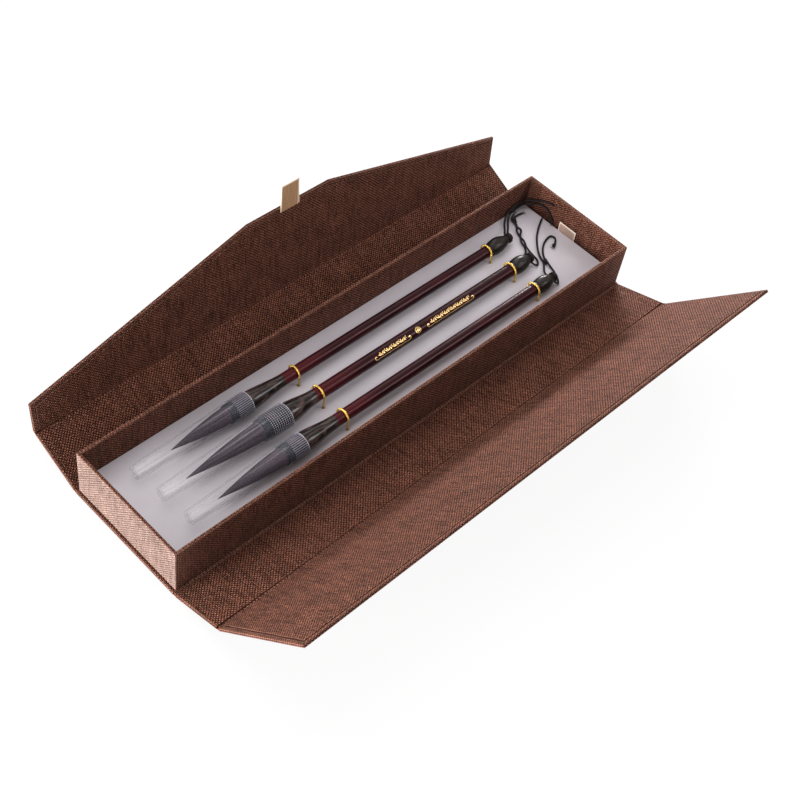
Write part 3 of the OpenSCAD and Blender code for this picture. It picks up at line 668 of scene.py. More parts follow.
def smooth_path(points, step):
    """A Catmull-Rom curve through points, cut into equal steps."""
    p = [Vector(q) for q in points]
    p = [2 * p[0] - p[1]] + p + [2 * p[-1] - p[-2]]
    fine = []
    for i in range(1, len(p) - 2):
        for k in range(24):
            t = k / 24
            fine.append(0.5 * (2 * p[i] + (p[i + 1] - p[i - 1]) * t
                               + (2 * p[i - 1] - 5 * p[i] + 4 * p[i + 1] - p[i + 2]) * t * t
                               + (3 * p[i] - p[i - 1] - 3 * p[i + 1] + p[i + 2]) * t ** 3))
    fine.append(p[-2])
    run = [0.0]
    for a, b in zip(fine, fine[1:]):
        run.append(run[-1] + (b - a).length)
    count = max(2, round(run[-1] / step))
    even, j = [], 0
    for i in range(count + 1):
        at = run[-1] * i / count
        while j < len(run) - 2 and run[j + 1] < at:
            j += 1
        even.append(fine[j].lerp(fine[j + 1], (at - run[j]) / max(1e-9, run[j + 1] - run[j])))
    return even


def spoke(side, other, a):
    """The direction at an angle round an axis, between two directions square to it."""
    return cos(a) * side + sin(a) * other


def tube(shape, path, radius, sides, lobes=0, twist=0.0, depth=0.0):
    """A tube along path. Its lobes twist like the strands of a cord, and its ends close."""
    size = radius if callable(radius) else (lambda t: radius)
    last = len(path) - 1
    heading = [(path[min(i + 1, last)] - path[max(i - 1, 0)]).normalized() for i in range(last + 1)]
    side = heading[0].orthogonal().normalized()
    rows, uvs, run = [], [], 0.0
    for i, p in enumerate(path):
        if i:
            run += (p - path[i - 1]).length
        side = (side - side.dot(heading[i]) * heading[i]).normalized()
        other = heading[i].cross(side)
        row = []
        for j in range(sides):
            a = TAU * j / sides
            r = size(i / last)
            if lobes:
                r *= 1 - depth * (1 - abs(cos(lobes / 2 * (a - twist * run))))
            row.append(p + r * spoke(side, other, a))
        rows.append(row)
        uvs.append([(run, size(0) * TAU * j / sides) for j in range(sides + 1)])
    rows = [[path[0]] * sides] + rows + [[path[-1]] * sides]
    uvs = [uvs[0]] + uvs + [uvs[-1]]
    shape.grid(rows, uvs, closed=True)


def fray(shape, path, count, length):
    """Loose strands that splay from the end of a cord."""
    end, ahead = path[-1], (path[-1] - path[-3]).normalized()
    side = ahead.orthogonal().normalized()
    for i in range(count):
        out = Matrix.Rotation(TAU * (i + 0.3 * random.random()) / count, 3, ahead) @ side
        reach = length * random.uniform(0.7, 1.0)
        wide = length / FRAY_L
        points = [end - 0.4 * ahead + 0.15 * out,
                  end + 0.3 * reach * ahead + 0.3 * wide * out,
                  end + 0.7 * reach * ahead + 0.9 * wide * out,
                  end + reach * ahead + 1.5 * wide * out]
        points = [Vector((q.x, q.y, max(q.z, CARD_TOP + 0.25))) for q in points]
        tube(shape, smooth_path(points, 0.4), lambda t: 0.24 - 0.12 * t, 6)


def wound(shape, start, end, d, turns):
    """A knot: turns of cord round the strands, held by one that crosses them."""
    start, end = Vector(start), Vector(end)
    axis = (end - start).normalized()
    side = axis.orthogonal().normalized()
    other = axis.cross(side)
    r = 0.21 * d
    coil = d / 2 - r
    count = int(28 * turns)
    path = []
    for i in range(count + 1):
        path.append(start.lerp(end, i / count) + coil * spoke(side, other, TAU * turns * i / count))
    tube(shape, path, r, 10, 3, 2.2, 0.16)
    over = []
    for t in parts(16):
        rise = d / 2 + 0.12 * sin(pi * t) - 0.25
        over.append(start.lerp(end, -0.25 + 1.5 * t)
                    + rise * spoke(side, other, pi * (0.25 + 0.9 * t)))
    tube(shape, over, 0.8 * r, 10, 3, 2.2, 0.16)


def make_cords():
    for name, b in BRUSHES.items():
        tie = Shape()
        neck = Vector((FINIAL_X + NECK * b.finial_l, 0, 0))
        ring = [neck + Vector((0.5 * (i / 40 - 0.5), TIE_R * cos(TAU * i / 40),
                              TIE_R * sin(TAU * i / 40))) for i in range(-3, 44)]
        tube(tie, ring, 0.52, 12, 3, 2.4, 0.16)
        body = f"{name}_brush"
        tie_piece = dress(tie.build(f"{name}_cord_ring", CORD, b.frame), body, "black_cord")
        knots = Shape()
        wound(knots, *TIE_KNOTS[name], 2.4)
        knot = dress(knots.build(f"{name}_cord_knot", CORD), body, "black_cord",
                     f"{name}_cord_knots")
        for strand in "ab":
            node = f"{name}_cord_{strand}"
            route = ROUTES[node]
            path = smooth_path(route, 0.3)
            strand_shape = Shape()
            tube(strand_shape, path, CORD_D / 2 * 1.1, 15, 3, 2.6, 0.2)
            cord = dress(strand_shape.build(f"{node}_strand", CORD), body, "black_cord", node)
            ends = Shape()
            knotted = node in ("rear_cord_b", "front_cord_b")
            if knotted:
                ahead = (path[-1] - path[-4]).normalized()
                wound(ends, path[-1] - 0.5 * ahead, path[-1] + 0.6 * ahead, 2.3, 1.6)
            fray(ends, path + [path[-1] + (path[-1] - path[-2])], 6 if knotted else 4,
                 SHORT_FRAY_L if node == "front_cord_a" else FRAY_L)
            end_piece = dress(ends.build(f"{node}_end", CORD), body, "black_cord")


make_cords()


# Case
def cover_frame(front, y, z, angle):
    """Frame of a cover board: x along the hinge, y away from it, z out of its inner face."""
    a = radians(angle)
    s = -1 if front else 1
    turn = Matrix(((s, 0, 0), (0, s * cos(a), -s * sin(a)), (0, sin(a), cos(a))))
    return Matrix.Translation(Vector((0, y, z)) * MM) @ turn.to_4x4()


def lid_axis(front):
    """Where a lid's hinge axis crosses the section: (y, z)."""
    a = radians(FRONT_SIDE_A if front else REAR_SIDE_A)
    w = FRONT_SIDE_W if front else REAR_SIDE_W
    s = -1 if front else 1
    return s * (HINGE_Y + w * cos(a)), BEAD + w * sin(a)


FRONT_SIDE = cover_frame(True, -HINGE_Y, BEAD, FRONT_SIDE_A)
REAR_SIDE = cover_frame(False, HINGE_Y, BEAD, REAR_SIDE_A)
FRONT_LID = cover_frame(True, *lid_axis(True), FRONT_LID_A)
REAR_LID = cover_frame(False, *lid_axis(False), REAR_LID_A)


def flap_outline():
    left, right = LID_X - LID_FLAT / 2, LID_X + LID_FLAT / 2
    return [Vector(p) for p in (
        (-BOARD_HALF, EDGE_GAP), (BOARD_HALF, EDGE_GAP), (BOARD_HALF, LID_END_W),
        (right, LID_MID_W), (left, LID_MID_W), (-BOARD_HALF, LID_END_W))]


def inset_sides(outline, d):
    """The outline moved d inside all its edges but the one along the hinge."""
    moved = inset(outline, d)
    moved[0].y = moved[1].y = outline[0].y
    return moved


def make_covers():
    for name, body, place, outline, side_only in (
        ("front_side", "front_side", FRONT_SIDE,
         rectangle(-BOARD_HALF, BOARD_HALF, EDGE_GAP, FRONT_SIDE_W - JOINT_GAP), True),
        ("rear_side", "rear_side", REAR_SIDE,
         rectangle(-BOARD_HALF, BOARD_HALF, EDGE_GAP, REAR_SIDE_W - JOINT_GAP), True),
        ("front_lid", "front_lid", FRONT_LID,
         rectangle(-BOARD_HALF, BOARD_HALF, EDGE_GAP, FRONT_LID_W), False),
        ("rear_lid", "rear_lid", REAR_LID, flap_outline(), False),
    ):
        node = f"{name}_panel" if side_only else name
        shell = Shape()
        board(shell, outline, cover_profile(-BEAD, BOARD_TOP, 0 if side_only else MARGIN))
        dress(shell.build(f"{name}_board", BOOK_CLOTH, place), body, "book_cloth", node)
        lining = Shape()
        if side_only:
            y0, y1 = outline[0].y, outline[2].y
            half = BOARD_HALF - SIDE_MARGIN
            inner = rectangle(-half, half, y0 + 0.25, y1 - 0.25)
        else:
            inner = inset_sides(outline, MARGIN)
            inner[0].y = inner[1].y = inner[0].y + 0.25
        board(lining, inner, rounded(BOARD_TOP - 0.1, LINING_TOP, 0.18, 3, 0.35))
        sheet = dress(lining.build(f"{name}_inner_cloth", LINING, place), body, "lining_cloth",
                      f"{name}_lining")

    base = Shape()
    board(base, rectangle(-BOARD_HALF, BOARD_HALF, -HALF_W, HALF_W), cover_profile(0, BASE_T, 0))
    dress(base.build("base_board_cloth", BOOK_CLOTH), "case", "book_cloth", "base_board")


def arc(r, start, end, steps):
    """Points on an arc round the hinge axis."""
    angles = [start + (end - start) * i / steps for i in range(steps + 1)]
    return [(r * cos(a), r * sin(a)) for a in angles]


def seen_from_near(bend, v, n):
    """A point (v, n) of the far board's frame, seen from the near board's."""
    return (v * cos(bend) - n * sin(bend), v * sin(bend) + n * cos(bend))


def outer_section(bend):
    """Section (v, n, wear_and_light) of the outer hinge cloth, with its bead on the hinge axis."""
    upper = [(-5.6, -0.02), (-2.2, -0.02), (-1.7, 0.05), (-0.445, 0.07)]
    upper += arc(BEAD, radians(171), bend + radians(9), 8)
    upper += [seen_from_near(bend, *p) for p in ((0.5, 0.05), (0.9, -0.02), (4.9, -0.02))]
    lower = [seen_from_near(bend, *p) for p in ((4.9, -0.34), (0.9, -0.34), (0.5, -0.43))]
    lower += arc(BEAD, bend - pi / 2, -pi / 2, 4)
    lower += [(-1.5, -0.44), (-2.2, -0.34), (-5.6, -0.34)]
    return [(v, n, 0.0) for v, n in upper + lower]


def inner_section(bend, base, x):
    """Section of the lining cloth across a hinge. At the tray's foot it stands in two ridges,
    and at a lid it dips into a crease that opens towards both ends. Its wear_and_light
    paints shade in the grooves and the crease, and highlights on the ridges beside them."""
    top = LINING_TOP + 0.015
    start, end = Vector((-2.15, top)), Vector(seen_from_near(bend, 0.86, top))
    # Each ridge is (place, height, wear_and_light): below 0 painted shade, above 0 painted
    # highlight.
    if base:
        ridges = ((0.0, 0.0, 0), (0.15, -0.75, -1), (0.24, -0.1, 1), (0.33, 0.12, 2),
                  (0.42, -0.1, 1), (0.52, -0.75, -1), (0.61, -0.1, 1), (0.69, 0.10, 2),
                  (0.78, -0.1, 0.8), (0.88, -0.5, -1))
    else:
        near_end = exp(-((BOARD_HALF - abs(x)) / 16) ** 2)
        half = min(0.39, (0.34 + 0.5 * near_end) / (end - start).length)
        deep = 0.85 + 0.2 * near_end
        dark = -1 if bend < 0.7 else -0.35 - 0.4 * near_end
        ridges = ((0.0, 0.0, 0), (0.48 - half - 0.1, -0.04, 0.3), (0.48 - half, -0.16, 0),
                  (0.48 - 0.5 * half, -deep, dark), (0.48 + 0.5 * half, -deep, dark),
                  (0.48 + half, -0.16, 0), (0.48 + half + 0.1, -0.04, 0.3))
    up = Vector((-(end - start).y, (end - start).x)).normalized()
    upper = [(-6.0, 1.5, 0), (-2.9, 1.5, 0), (-2.45, 1.62, 0)]
    for t, h, w in ridges:
        p = start.lerp(end, t) + up * h
        upper.append((p.x, p.y, w))
    far = 4.5 if base or abs(x) < BOARD_HALF - MARGIN else 1.6
    upper.append((*end, 0))
    upper += [(*seen_from_near(bend, v, n), 0) for v, n in ((1.15, 1.62), (1.5, 1.5), (far, 1.5))]
    lower = [(*seen_from_near(bend, v, n), 0) for v, n in ((far, 1.28), (1.0, 1.28))]
    middle = start.lerp(end, 0.5) - up * 1.1
    lower += [(middle.x, middle.y, 0), (-2.3, 1.28, 0), (-6.0, 1.28, 0)]
    return upper + lower


def make_hinges():
    for name, front, parent, child, place, bend in (
        ("front_base_hinge", True, "case", "front_side", cover_frame(True, -HINGE_Y, BEAD, 0),
         FRONT_SIDE_A),
        ("rear_base_hinge", False, "case", "rear_side", cover_frame(False, HINGE_Y, BEAD, 0),
         REAR_SIDE_A),
        ("front_lid_hinge", True, "front_side", "front_lid",
         cover_frame(True, *lid_axis(True), FRONT_SIDE_A), FRONT_LID_A - FRONT_SIDE_A),
        ("rear_lid_hinge", False, "rear_side", "rear_lid",
         cover_frame(False, *lid_axis(False), REAR_SIDE_A), REAR_LID_A - REAR_SIDE_A),
    ):
        base = "base" in name
        bend = radians(bend)
        for layer, half, reach, material, slot in (
            ("outer", BOARD_HALF - 0.25, (0.7, 0.5), BOOK_CLOTH, "book_cloth"),
            ("inner", BOARD_HALF - SIDE_MARGIN, (2.0, 1.0), LINING, "lining_cloth"),
        ):
            steps = 300
            rows, uvs, marks = [], [], []
            for i in range(steps + 1):
                x = -half + 2 * half * i / steps
                wander = 0.04 * sin(0.31 * x) + 0.03 * sin(0.83 * x + 1)
                section = outer_section(bend) if layer == "outer" else inner_section(bend, base, x)
                section = section + section[:1]
                rows.append([(x, v, n + (wander if layer == "inner" and -1.9 < v < 0.4
                                         and n > 0.9 else 0)) for v, n, _ in section])
                uvs.append([(x, r) for r in run_along(section)])
                marks.append([w * (0.75 + 0.25 * sin(1.7 * x)) for _, _, w in section])
            strip = Shape()
            ids = strip.grid(rows, uvs, marks)
            for end in (ids[0], ids[-1]):
                strip.face(end[:-1], [(0, 0)] * (len(end) - 1))
            made = strip.build(f"{name}_{layer}_cloth", material, place, 60)
            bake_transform(made)
            dress(made, None, slot, *([name] if layer == "outer" else []))


def make_tray():
    """Four cloth-wrapped walls with mitred corners and a rounded rim."""
    corner, steps, straight = 0.75, 4, 24
    columns = [(-1, radians(45 * i / steps)) for i in range(steps)]
    columns += [(0, -1 + 2 * i / straight) for i in range(straight + 1)]
    columns += [(1, radians(45 * (1 - i / steps))) for i in range(1, steps + 1)]
    profile = [(0.4, BASE_T, 0.0), (0.12, BASE_T + 0.12, 0.3), (0, BASE_T + 0.4, 0.3),
               (0, RIM_Z - 1.6, 0.0)]
    for a in quarter(5):
        profile.append((0.6 - 0.6 * cos(a), RIM_Z - 0.6 + 0.6 * sin(a),
                        0.3 + 0.7 * sin(2 * a)))
    for a in quarter(4):
        profile.append((WALL - 0.5 + 0.5 * sin(a), RIM_Z - 0.5 + 0.5 * cos(a),
                        0.25 + 0.6 * sin(2 * a)))
    profile += [(WALL, RIM_Z - 1.6, 0.0), (WALL, BASE_T, 0.0), (0.4, BASE_T, 0.0)]
    run = run_along(profile)
    for name, turn, half, depth in (("front", 0, HALF_L, HALF_W), ("right", 90, HALF_W, HALF_L),
                                    ("rear", 180, HALF_L, HALF_W), ("left", 270, HALF_W, HALF_L)):
        c, s = cos(radians(turn)), sin(radians(turn))
        rows, uvs, marks = [], [], []
        for (d, z, w), r in zip(profile, run):
            row, line, mark = [], [], []
            for side, t in columns:
                if side:
                    reach = max(0.0, corner - d)
                    x = side * (half - max(corner, d) + reach * sin(pi / 4 - t))
                    y = max(corner, d) - depth - reach * cos(pi / 4 - t)
                    edge = 0.7
                else:
                    limit = half - max(d, corner)
                    x, y = t * limit, -(depth - d)
                    edge = 0.5 if abs(t) == 1 else 0.0
                row.append((c * x - s * y, s * x + c * y, z))
                line.append((side * (half + 0.5) if side else t * half, r))
                mark.append(max(w, edge))
            rows.append(row)
            uvs.append(line)
            marks.append(mark)
        wall = Shape()
        # The left wall's outer face takes the paler copy of the cloth, with its painted sheen.
        kinds = [1 if name == "left" and i < 6 else 0 for i in range(len(rows) - 1)]
        ids = wall.grid(rows, uvs, marks, slot=kinds)
        for end in (0, -1):
            wall.face([row[end] for row in ids[:-1]], [(0, 0)] * (len(ids) - 1))
        dress(wall.build(f"{name}_wall_cloth", [BOOK_CLOTH, SHEEN_PAINTED_END_CLOTH], sharp=50), "case",
              "book_cloth", f"tray_{name}_wall")


make_covers()
make_hinges()
make_tray()


# Insert
def loop_radius(b):
    """The radius of an elastic loop's centreline round a handle."""
    return b.handle / 2 + 0.3 + LOOP_R


HOLES = [(x, b.y + side * loop_radius(b)) for x in (NEAR_X, FAR_X)
         for b in BRUSHES.values() for side in (-1, 1)]


def card_height(x, y):
    """The card's surface: nearly flat, a slow wave at its free end, a dip at each hole."""
    wave = 0.10 * sin(0.055 * x + 0.8) * cos(0.06 * y)
    end = max(0.0, (-110 - x) / 58)
    wave += 0.28 * end * sin(0.13 * y + 0.05 * x)
    dip = 0.0
    for hx, hy in HOLES:
        d = hypot(x - hx, y - hy)
        if d < 5:
            dip += 0.28 * exp(-((d - 0.8) / 1.1) ** 2)
    return min(wave, 0.12) - dip


def make_card():
    points, edges = [], []

    def ring(loop):
        first = len(points)
        points.extend(Vector(p) for p in loop)
        edges.extend((first + i, first + (i + 1) % len(loop)) for i in range(len(loop)))

    nx, ny = 96, 22
    xs = [CARD_X0 + (CARD_X1 - CARD_X0) * i / nx for i in range(nx + 1)]
    ys = [-CARD_HALF_W + 2 * CARD_HALF_W * i / ny for i in range(ny + 1)]
    ring([(x, ys[0]) for x in xs] + [(xs[-1], y) for y in ys[1:]]
         + [(x, ys[-1]) for x in reversed(xs[:-1])] + [(xs[0], y) for y in reversed(ys[1:-1])])
    for hx, hy in HOLES:
        ring(circle(hx, hy, 1, 20))
        for r in (1.45, 2.1):
            points.extend(Vector(p) for p in circle(hx, hy, r, 20))
    for x in xs[1:-1]:
        for y in ys[1:-1]:
            if all(hypot(x - hx, y - hy) > 2.6 for hx, hy in HOLES):
                points.append(Vector((x, y)))
    verts, _, faces, *_ = delaunay_2d_cdt(points, edges, [], 0, 1e-5)
    faces = [f for f in faces
             if all(dist(sum((verts[i] for i in f), Vector((0, 0))) / 3, h) > 0.98
                    for h in HOLES)]
    card = Shape()
    top = [card.point((v.x, v.y, CARD_TOP + card_height(v.x, v.y))) for v in verts]
    low = [card.point((v.x, v.y, CARD_Z - 0.02)) for v in verts]
    for f in faces:
        uv = [tuple(verts[i]) for i in f]
        card.face([top[i] for i in f], uv)
        card.face([low[i] for i in reversed(f)], uv[::-1])
    used = dict.fromkeys((a, b) for f in faces for a, b in zip(f, f[1:] + f[:1]))
    for a, b in used:
        if (b, a) not in used:
            card.face([top[b], top[a], low[a], low[b]], [(0, 0), (1, 0), (1, 1), (0, 1)], 1.0)
    dress(card.build("satin_card", CARD, sharp=40), "insert", "satin_card", "insert_card")


def make_foam():
    """The foam block, its long edges softened."""
    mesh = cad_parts["insert_foam"].data.copy()
    work = bmesh.new()
    work.from_mesh(mesh)
    bmesh.ops.remove_doubles(work, verts=work.verts, dist=1e-6)
    bmesh.ops.dissolve_limit(work, angle_limit=0.02, verts=work.verts, edges=work.edges)
    outer = [e for e in work.edges if e.calc_length() > 0.02 or
             (e.calc_length() > 0.006 and abs(e.verts[0].co.z - e.verts[1].co.z) > 0.006
              and abs(e.verts[0].co.x) > 0.15 and abs(e.verts[0].co.y) > 0.03)]
    bmesh.ops.bevel(work, geom=outer, offset=0.0008, segments=3, affect="EDGES", profile=0.5)
    work.to_mesh(mesh)
    work.free()
    mesh.materials.clear()
    mesh.materials.append(FOAM)
    mesh.shade_smooth()
    mesh.set_sharp_from_angle(angle=radians(35))
    made = dress(add("foam_block", mesh), "insert", "foam", "insert_foam")


def ribbon_loop(shape, length, gap, thick, width, bulge, skew):
    """A ribbon folded double: up one side, round its fold and down the other. It bulges by
    bulge, and skew sets its ends apart sideways. Gives the ribbon's whole length."""
    near = [(-gap / 2 - bulge * sin(pi * t) ** 2, (length - gap) * t) for t in parts(22)]
    fold = [(-gap / 2 * cos(pi * i / 8), length - gap + gap * sin(pi * i / 8) * 0.9)
            for i in range(1, 8)]
    path = near + fold + [(-x, y) for x, y in reversed(near)]
    run, normals = run_along(path), []
    for i in range(len(path)):
        q, o = path[min(i + 1, len(path) - 1)], path[max(i - 1, 0)]
        normals.append(Vector((-(q[1] - o[1]), q[0] - o[0])).normalized())
    sides = [[(p[0] + s * thick / 2 * n.x, p[1] + s * thick / 2 * n.y)
              for p, n in zip(path, normals)] for s in (1, -1)]
    half = width / 2
    across = [-half, -half + 0.35, -half + 0.8, 0, half - 0.8, half - 0.35, half]
    marks = [1.0, 0.8, 0.0, 0.0, 0.0, 0.8, 1.0]
    shift = [skew * (r / run[-1] - 0.5) for r in run]
    uvs = [[(w, r) for w in across] for r in run]
    wear_and_light = [[max(m, 1 - abs(r - run[-1] / 2) / 0.9) for m in marks] for r in run]
    ids_out, ids_in = (
        shape.grid([[(w + d, x, y) for w in across] for (x, y), d in zip(side, shift)], uvs, wear_and_light)
        for side in sides)
    for col in (0, -1):
        for i in range(len(path) - 1):
            shape.face([ids_out[i][col], ids_out[i + 1][col], ids_in[i + 1][col], ids_in[i][col]],
                       [(0, run[i]), (0, run[i + 1]), (1, run[i + 1]), (1, run[i])], 1.0)
    for row in (0, -1):
        for j in range(len(across) - 1):
            shape.face([ids_out[row][j], ids_out[row][j + 1], ids_in[row][j + 1], ids_in[row][j]],
                       [(j, 0), (j + 1, 0), (j + 1, 1), (j, 1)], 1.0)
    return run[-1]


def make_ribbons():
    tab_turn = Matrix(((0, 1, 0), (1, 0, 0), (0, 0, 1))).to_4x4()
    pull_turn = Matrix(((1, 0, 0), (0, 0, 1), (0, 1, 0))).to_4x4()
    for name, node, body, material, length, width, gap, thick, skew, place, under in (
        ("insert_tab", "insert_ribbon", "insert", TAB, TAB_L, TAB_W, 0.44, 0.28, 0.5,
         Matrix.Translation(Vector((167.0, 2.2, 4.25)) * MM) @ tab_turn, "satin_card"),
        ("pull_tab", "pull_ribbon", "rear_lid", RIBBON, PULL_L, PULL_W, 0.30, 0.24, -1.3,
         REAR_LID @ Matrix.Translation(Vector((LID_X, LID_MID_W - MARGIN, 1.58)) * MM) @ pull_turn,
         "rear_lid_board"),
    ):
        ribbon = Shape()
        whole = ribbon_loop(ribbon, length, gap, thick, width, 0.02, skew)
        made = dress(ribbon.build(name, material, place), body, "satin_ribbon", node)


def make_loops():
    for name, b in BRUSHES.items():
        for where, x in (("near", NEAR_X), ("far", FAR_X)):
            r, y, z = loop_radius(b), b.y, axis_z(b, x)
            low = CARD_Z - 1.3
            path = [Vector((x, y - r, low + (z - low) * i / 14)) for i in range(14)]
            for i in range(33):
                a = pi * (1 - i / 32)
                path.append(Vector((x, y + r * cos(a), z + r * sin(a))))
            path += [Vector((x, y + r, z - (z - low) * i / 14)) for i in range(1, 15)]
            loop = Shape()
            tube(loop, path, LOOP_R, 16, 8, 1.6, 0.09)
            for side in (-1, 1):
                at = Vector((x, y + side * r, low))
                turns = (TAU * i / 24 for i in range(38))
                knot = [at + Vector((0.62 * cos(a), 0.62 * sin(a), 0.5 * sin(1.5 * a)))
                        for a in turns]
                tube(loop, knot, LOOP_R, 10, 8, 1.6, 0.09)
            made = loop.build(f"{name}_{where}_elastic", GOLD)
            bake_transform(made)
            dress(made, None, "gold_elastic", f"{name}_{where}_loop")


make_card()
make_foam()
make_ribbons()
make_loops()


# Brushes
def ferrule_outline(b):
    r0, r1 = b.handle / 2 + 0.1, b.ferrule / 2
    flare = [(b.joint + 0.02, r0 - 0.12)]
    for t in parts(24):
        flare.append((b.joint + (b.mouth - b.joint) * t, r0 + (r1 - r0) * t * t * (3 - 2 * t)))
    socket, root = 0.35 * b.handle + 0.05, 0.35 * b.ferrule + 0.05
    return flare + [
        (b.end + 5.5, r1), (b.end + 4.4, r1), (b.end + 0.5, r1),
        (b.end + 0.12, r1 - 0.14), (b.end, r1 - 0.45), (b.end, root),
        (b.end + SOCKET, root), (b.end + SOCKET, 0),
        (b.joint - SOCKET, 0), (b.joint - SOCKET, socket), (b.joint, socket)]


def make_handle(name, b):
    r = b.handle / 2
    handle = Shape()
    turned(handle, [
        (b.joint - SOCKET, 0), (b.joint - SOCKET, 0.7 * r), (b.joint, 0.7 * r),
        (b.joint, r - 0.12), (b.joint + 0.15, r), (20, r), (FINIAL_X - 0.15, r),
        (FINIAL_X, r - 0.12), (FINIAL_X, 0)], 48)
    dress(handle.build(f"{name}_lacquer_handle", LACQUER, b.frame), f"{name}_brush",
          "lacquered_wood", f"{name}_handle")
    ferrule = Shape()
    outline = ferrule_outline(b)
    outline += outline[:1]
    band = b.mouth - b.collar_l + 1
    turned(ferrule, outline, 56, wear_and_light=[float(x < band) for x, _ in outline])
    dress(ferrule.build(f"{name}_horn_ferrule", HORN, b.frame), f"{name}_brush", "horn",
          f"{name}_ferrule")


def tuft_radius(b, t):
    """The tuft's radius, from its root at t = 0 to its tip at t = 1."""
    full = 0.43 * b.ferrule
    return 0.15 + (full - 0.15) * (1 - t * t) * (1 - 0.28 * t)


def make_tuft(name, b):
    root, long = 0.35 * b.ferrule, b.tuft_l
    tuft = Shape()
    phases = [(k, random.uniform(0, TAU), random.uniform(0.006, 0.016)) for k in (5, 9, 14, 23)]

    def ridged(x, r, a):
        t = (b.end - x) / long
        if t <= 0:
            return r
        ridge = sum(h * sin(k * a + p + 1.5 * t) for k, p, h in phases)
        return 0.965 * r * (1 + ridge)

    outline = [(b.end + SOCKET, 0), (b.end + SOCKET, root), (b.end, root)]
    outline += [(b.end - long * i / 30, tuft_radius(b, i / 30)) for i in range(31)]
    turned(tuft, outline + [(b.end - long, 0)], 72, ridged)
    for i in range(HAIRS):
        angle, drift = random.uniform(0, TAU), random.uniform(-0.12, 0.12)
        reach = random.uniform(0.55, 1.0) if i % 3 else 1.0
        wave, phase = random.uniform(0.0, 0.012), random.uniform(0, TAU)
        path = []
        for k in range(15):
            t = reach * k / 14
            r = tuft_radius(b, t) * (0.975 + wave * sin(7 * t + phase)) - 0.02
            a = angle + drift * t
            path.append(Vector((b.end - 0.2 - (long - 0.2) * t, r * cos(a), r * sin(a))))
        tube(tuft, path, lambda t: 0.10 - 0.07 * t, 3)
    dress(tuft.build(f"{name}_tuft_hair", HAIR, b.frame, 60, weld=False), f"{name}_brush",
          "hair", f"{name}_tuft")


def make_finial(name, b):
    long, r0, r1 = b.finial_l, b.handle / 2, b.finial / 2
    outline = [(FINIAL_X, 0), (FINIAL_X, r0 - 0.1), (FINIAL_X + 0.2, r0 + 0.25),
               (FINIAL_X + 0.9, r0 + 0.3), (FINIAL_X + 1.2, r0 + 0.02)]
    for t in parts(30)[3:]:
        swell = (r0 + (r1 - r0) * sin(pi / 2 * t / 0.4) if t < 0.4
                 else 2.3 + (r1 - 2.3) * cos(pi / 2 * (t - 0.4) / 0.6))
        outline.append((FINIAL_X + 0.84 * long * t, swell))
    outline += [(FINIAL_X + NECK * long, 2.12), (FINIAL_X + 0.88 * long, 2.25)]
    for i in range(13):
        a = radians(-40 + 130 * i / 12)
        outline.append((FINIAL_X + (0.93 + 0.07 * sin(a)) * long, 3.1 * cos(a)))
    hole_x = FINIAL_X + 0.935 * long

    def drilled(x, r, a):
        side = min(abs(remainder(a, TAU)), abs(remainder(a - pi, TAU)))
        d = hypot(x - hole_x, 3.1 * side)
        carve = 1 + 0.012 * sin(3 * a + 0.4 * x) + 0.008 * sin(7 * a - 0.9 * x)
        return r * carve - (1.5 * exp(-(d / 0.75) ** 4) if d < 2 else 0)

    finial = Shape()
    turned(finial, outline, 64, drilled)
    dress(finial.build(f"{name}_black_finial", BLACK_WOOD, b.frame, 50), f"{name}_brush",
          "black_wood", f"{name}_finial")


def make_cap(name, b):
    bore, outer = b.ferrule / 2 + 0.06, b.collar / 2
    mouth, step = b.mouth, b.mouth - b.collar_l
    closed = mouth - b.cap_l
    tube_r, end_r = bore + 0.64, 4.0
    knurled = name == "middle"
    ribs = STUDS if knurled else RIBS

    def ribbed(x, r, a):
        if r < outer - 0.13 or not step + 0.75 < x < mouth - 0.75:
            return r
        rib = 0.5 + 0.5 * cos(ribs * a)
        if knurled:
            cell = 0.5 + 0.5 * cos(TAU * x / STUD_PITCH)
            return r - 0.2 * (1 - rib * cell)
        return r - 0.14 * (1 - rib)

    lip = outer + 0.02
    outline = [(mouth - 0.06, bore), (mouth, bore + 0.08), (mouth, lip - 0.16), (mouth - 0.14, lip),
               (mouth - 0.4, lip), (mouth - 0.55, outer - 0.05)]
    rows = int((b.collar_l - 1.5) / (0.27 if knurled else 1.2))
    outline += [(mouth - 0.78 - (b.collar_l - 1.56) * i / rows, outer - 0.02)
                for i in range(rows + 1)]
    outline += [(step + 0.6, outer - 0.04), (step + 0.5, outer), (step + 0.15, outer),
                (step, outer - 0.14), (step, tube_r)]
    # Slots as in finishes below: 0 the clear wall, 1 the ribs, 2 the rim
    frosted = [2] * 4 + [1] * (len(outline) - 5)
    wall = [(step - 0.6, tube_r - 0.02)]
    for t in parts(16)[1:]:
        wall.append((step - 0.6 + (closed + 1.2 - step + 0.6) * t,
                     tube_r - 0.02 + (end_r - tube_r + 0.02) * t))
    for a in quarter(5)[1:]:
        wall.append((closed + 1.2 - 1.2 * sin(a), end_r - 1.2 + 1.2 * cos(a)))
    wall += [(closed, 1.2), (closed, 0), (closed + 0.8, 0), (closed + 0.8, end_r - 1.6),
             (closed + 1.5, end_r - 0.8)]
    for t in parts(12)[1:]:
        wall.append((closed + 1.5 + (b.end - 1 - closed - 1.5) * t,
                     end_r - 0.8 + (bore - 0.1 - end_r + 0.8) * t))
    wall += [(b.end - 0.2, bore), (mouth - 3, bore), (mouth - 0.06, bore)]
    outline += wall
    slots = frosted + [0] * (len(outline) - 1 - len(frosted))
    cap = Shape()
    turned(cap, outline, 6 * ribs, ribbed, slots)
    finishes = [CLEAR, STUDDED if knurled else RIBBED, RIM]
    dress(cap.build(f"{name}_clear_cap", finishes, b.frame, 28), f"{name}_cap",
          "clear_plastic", f"{name}_cap")


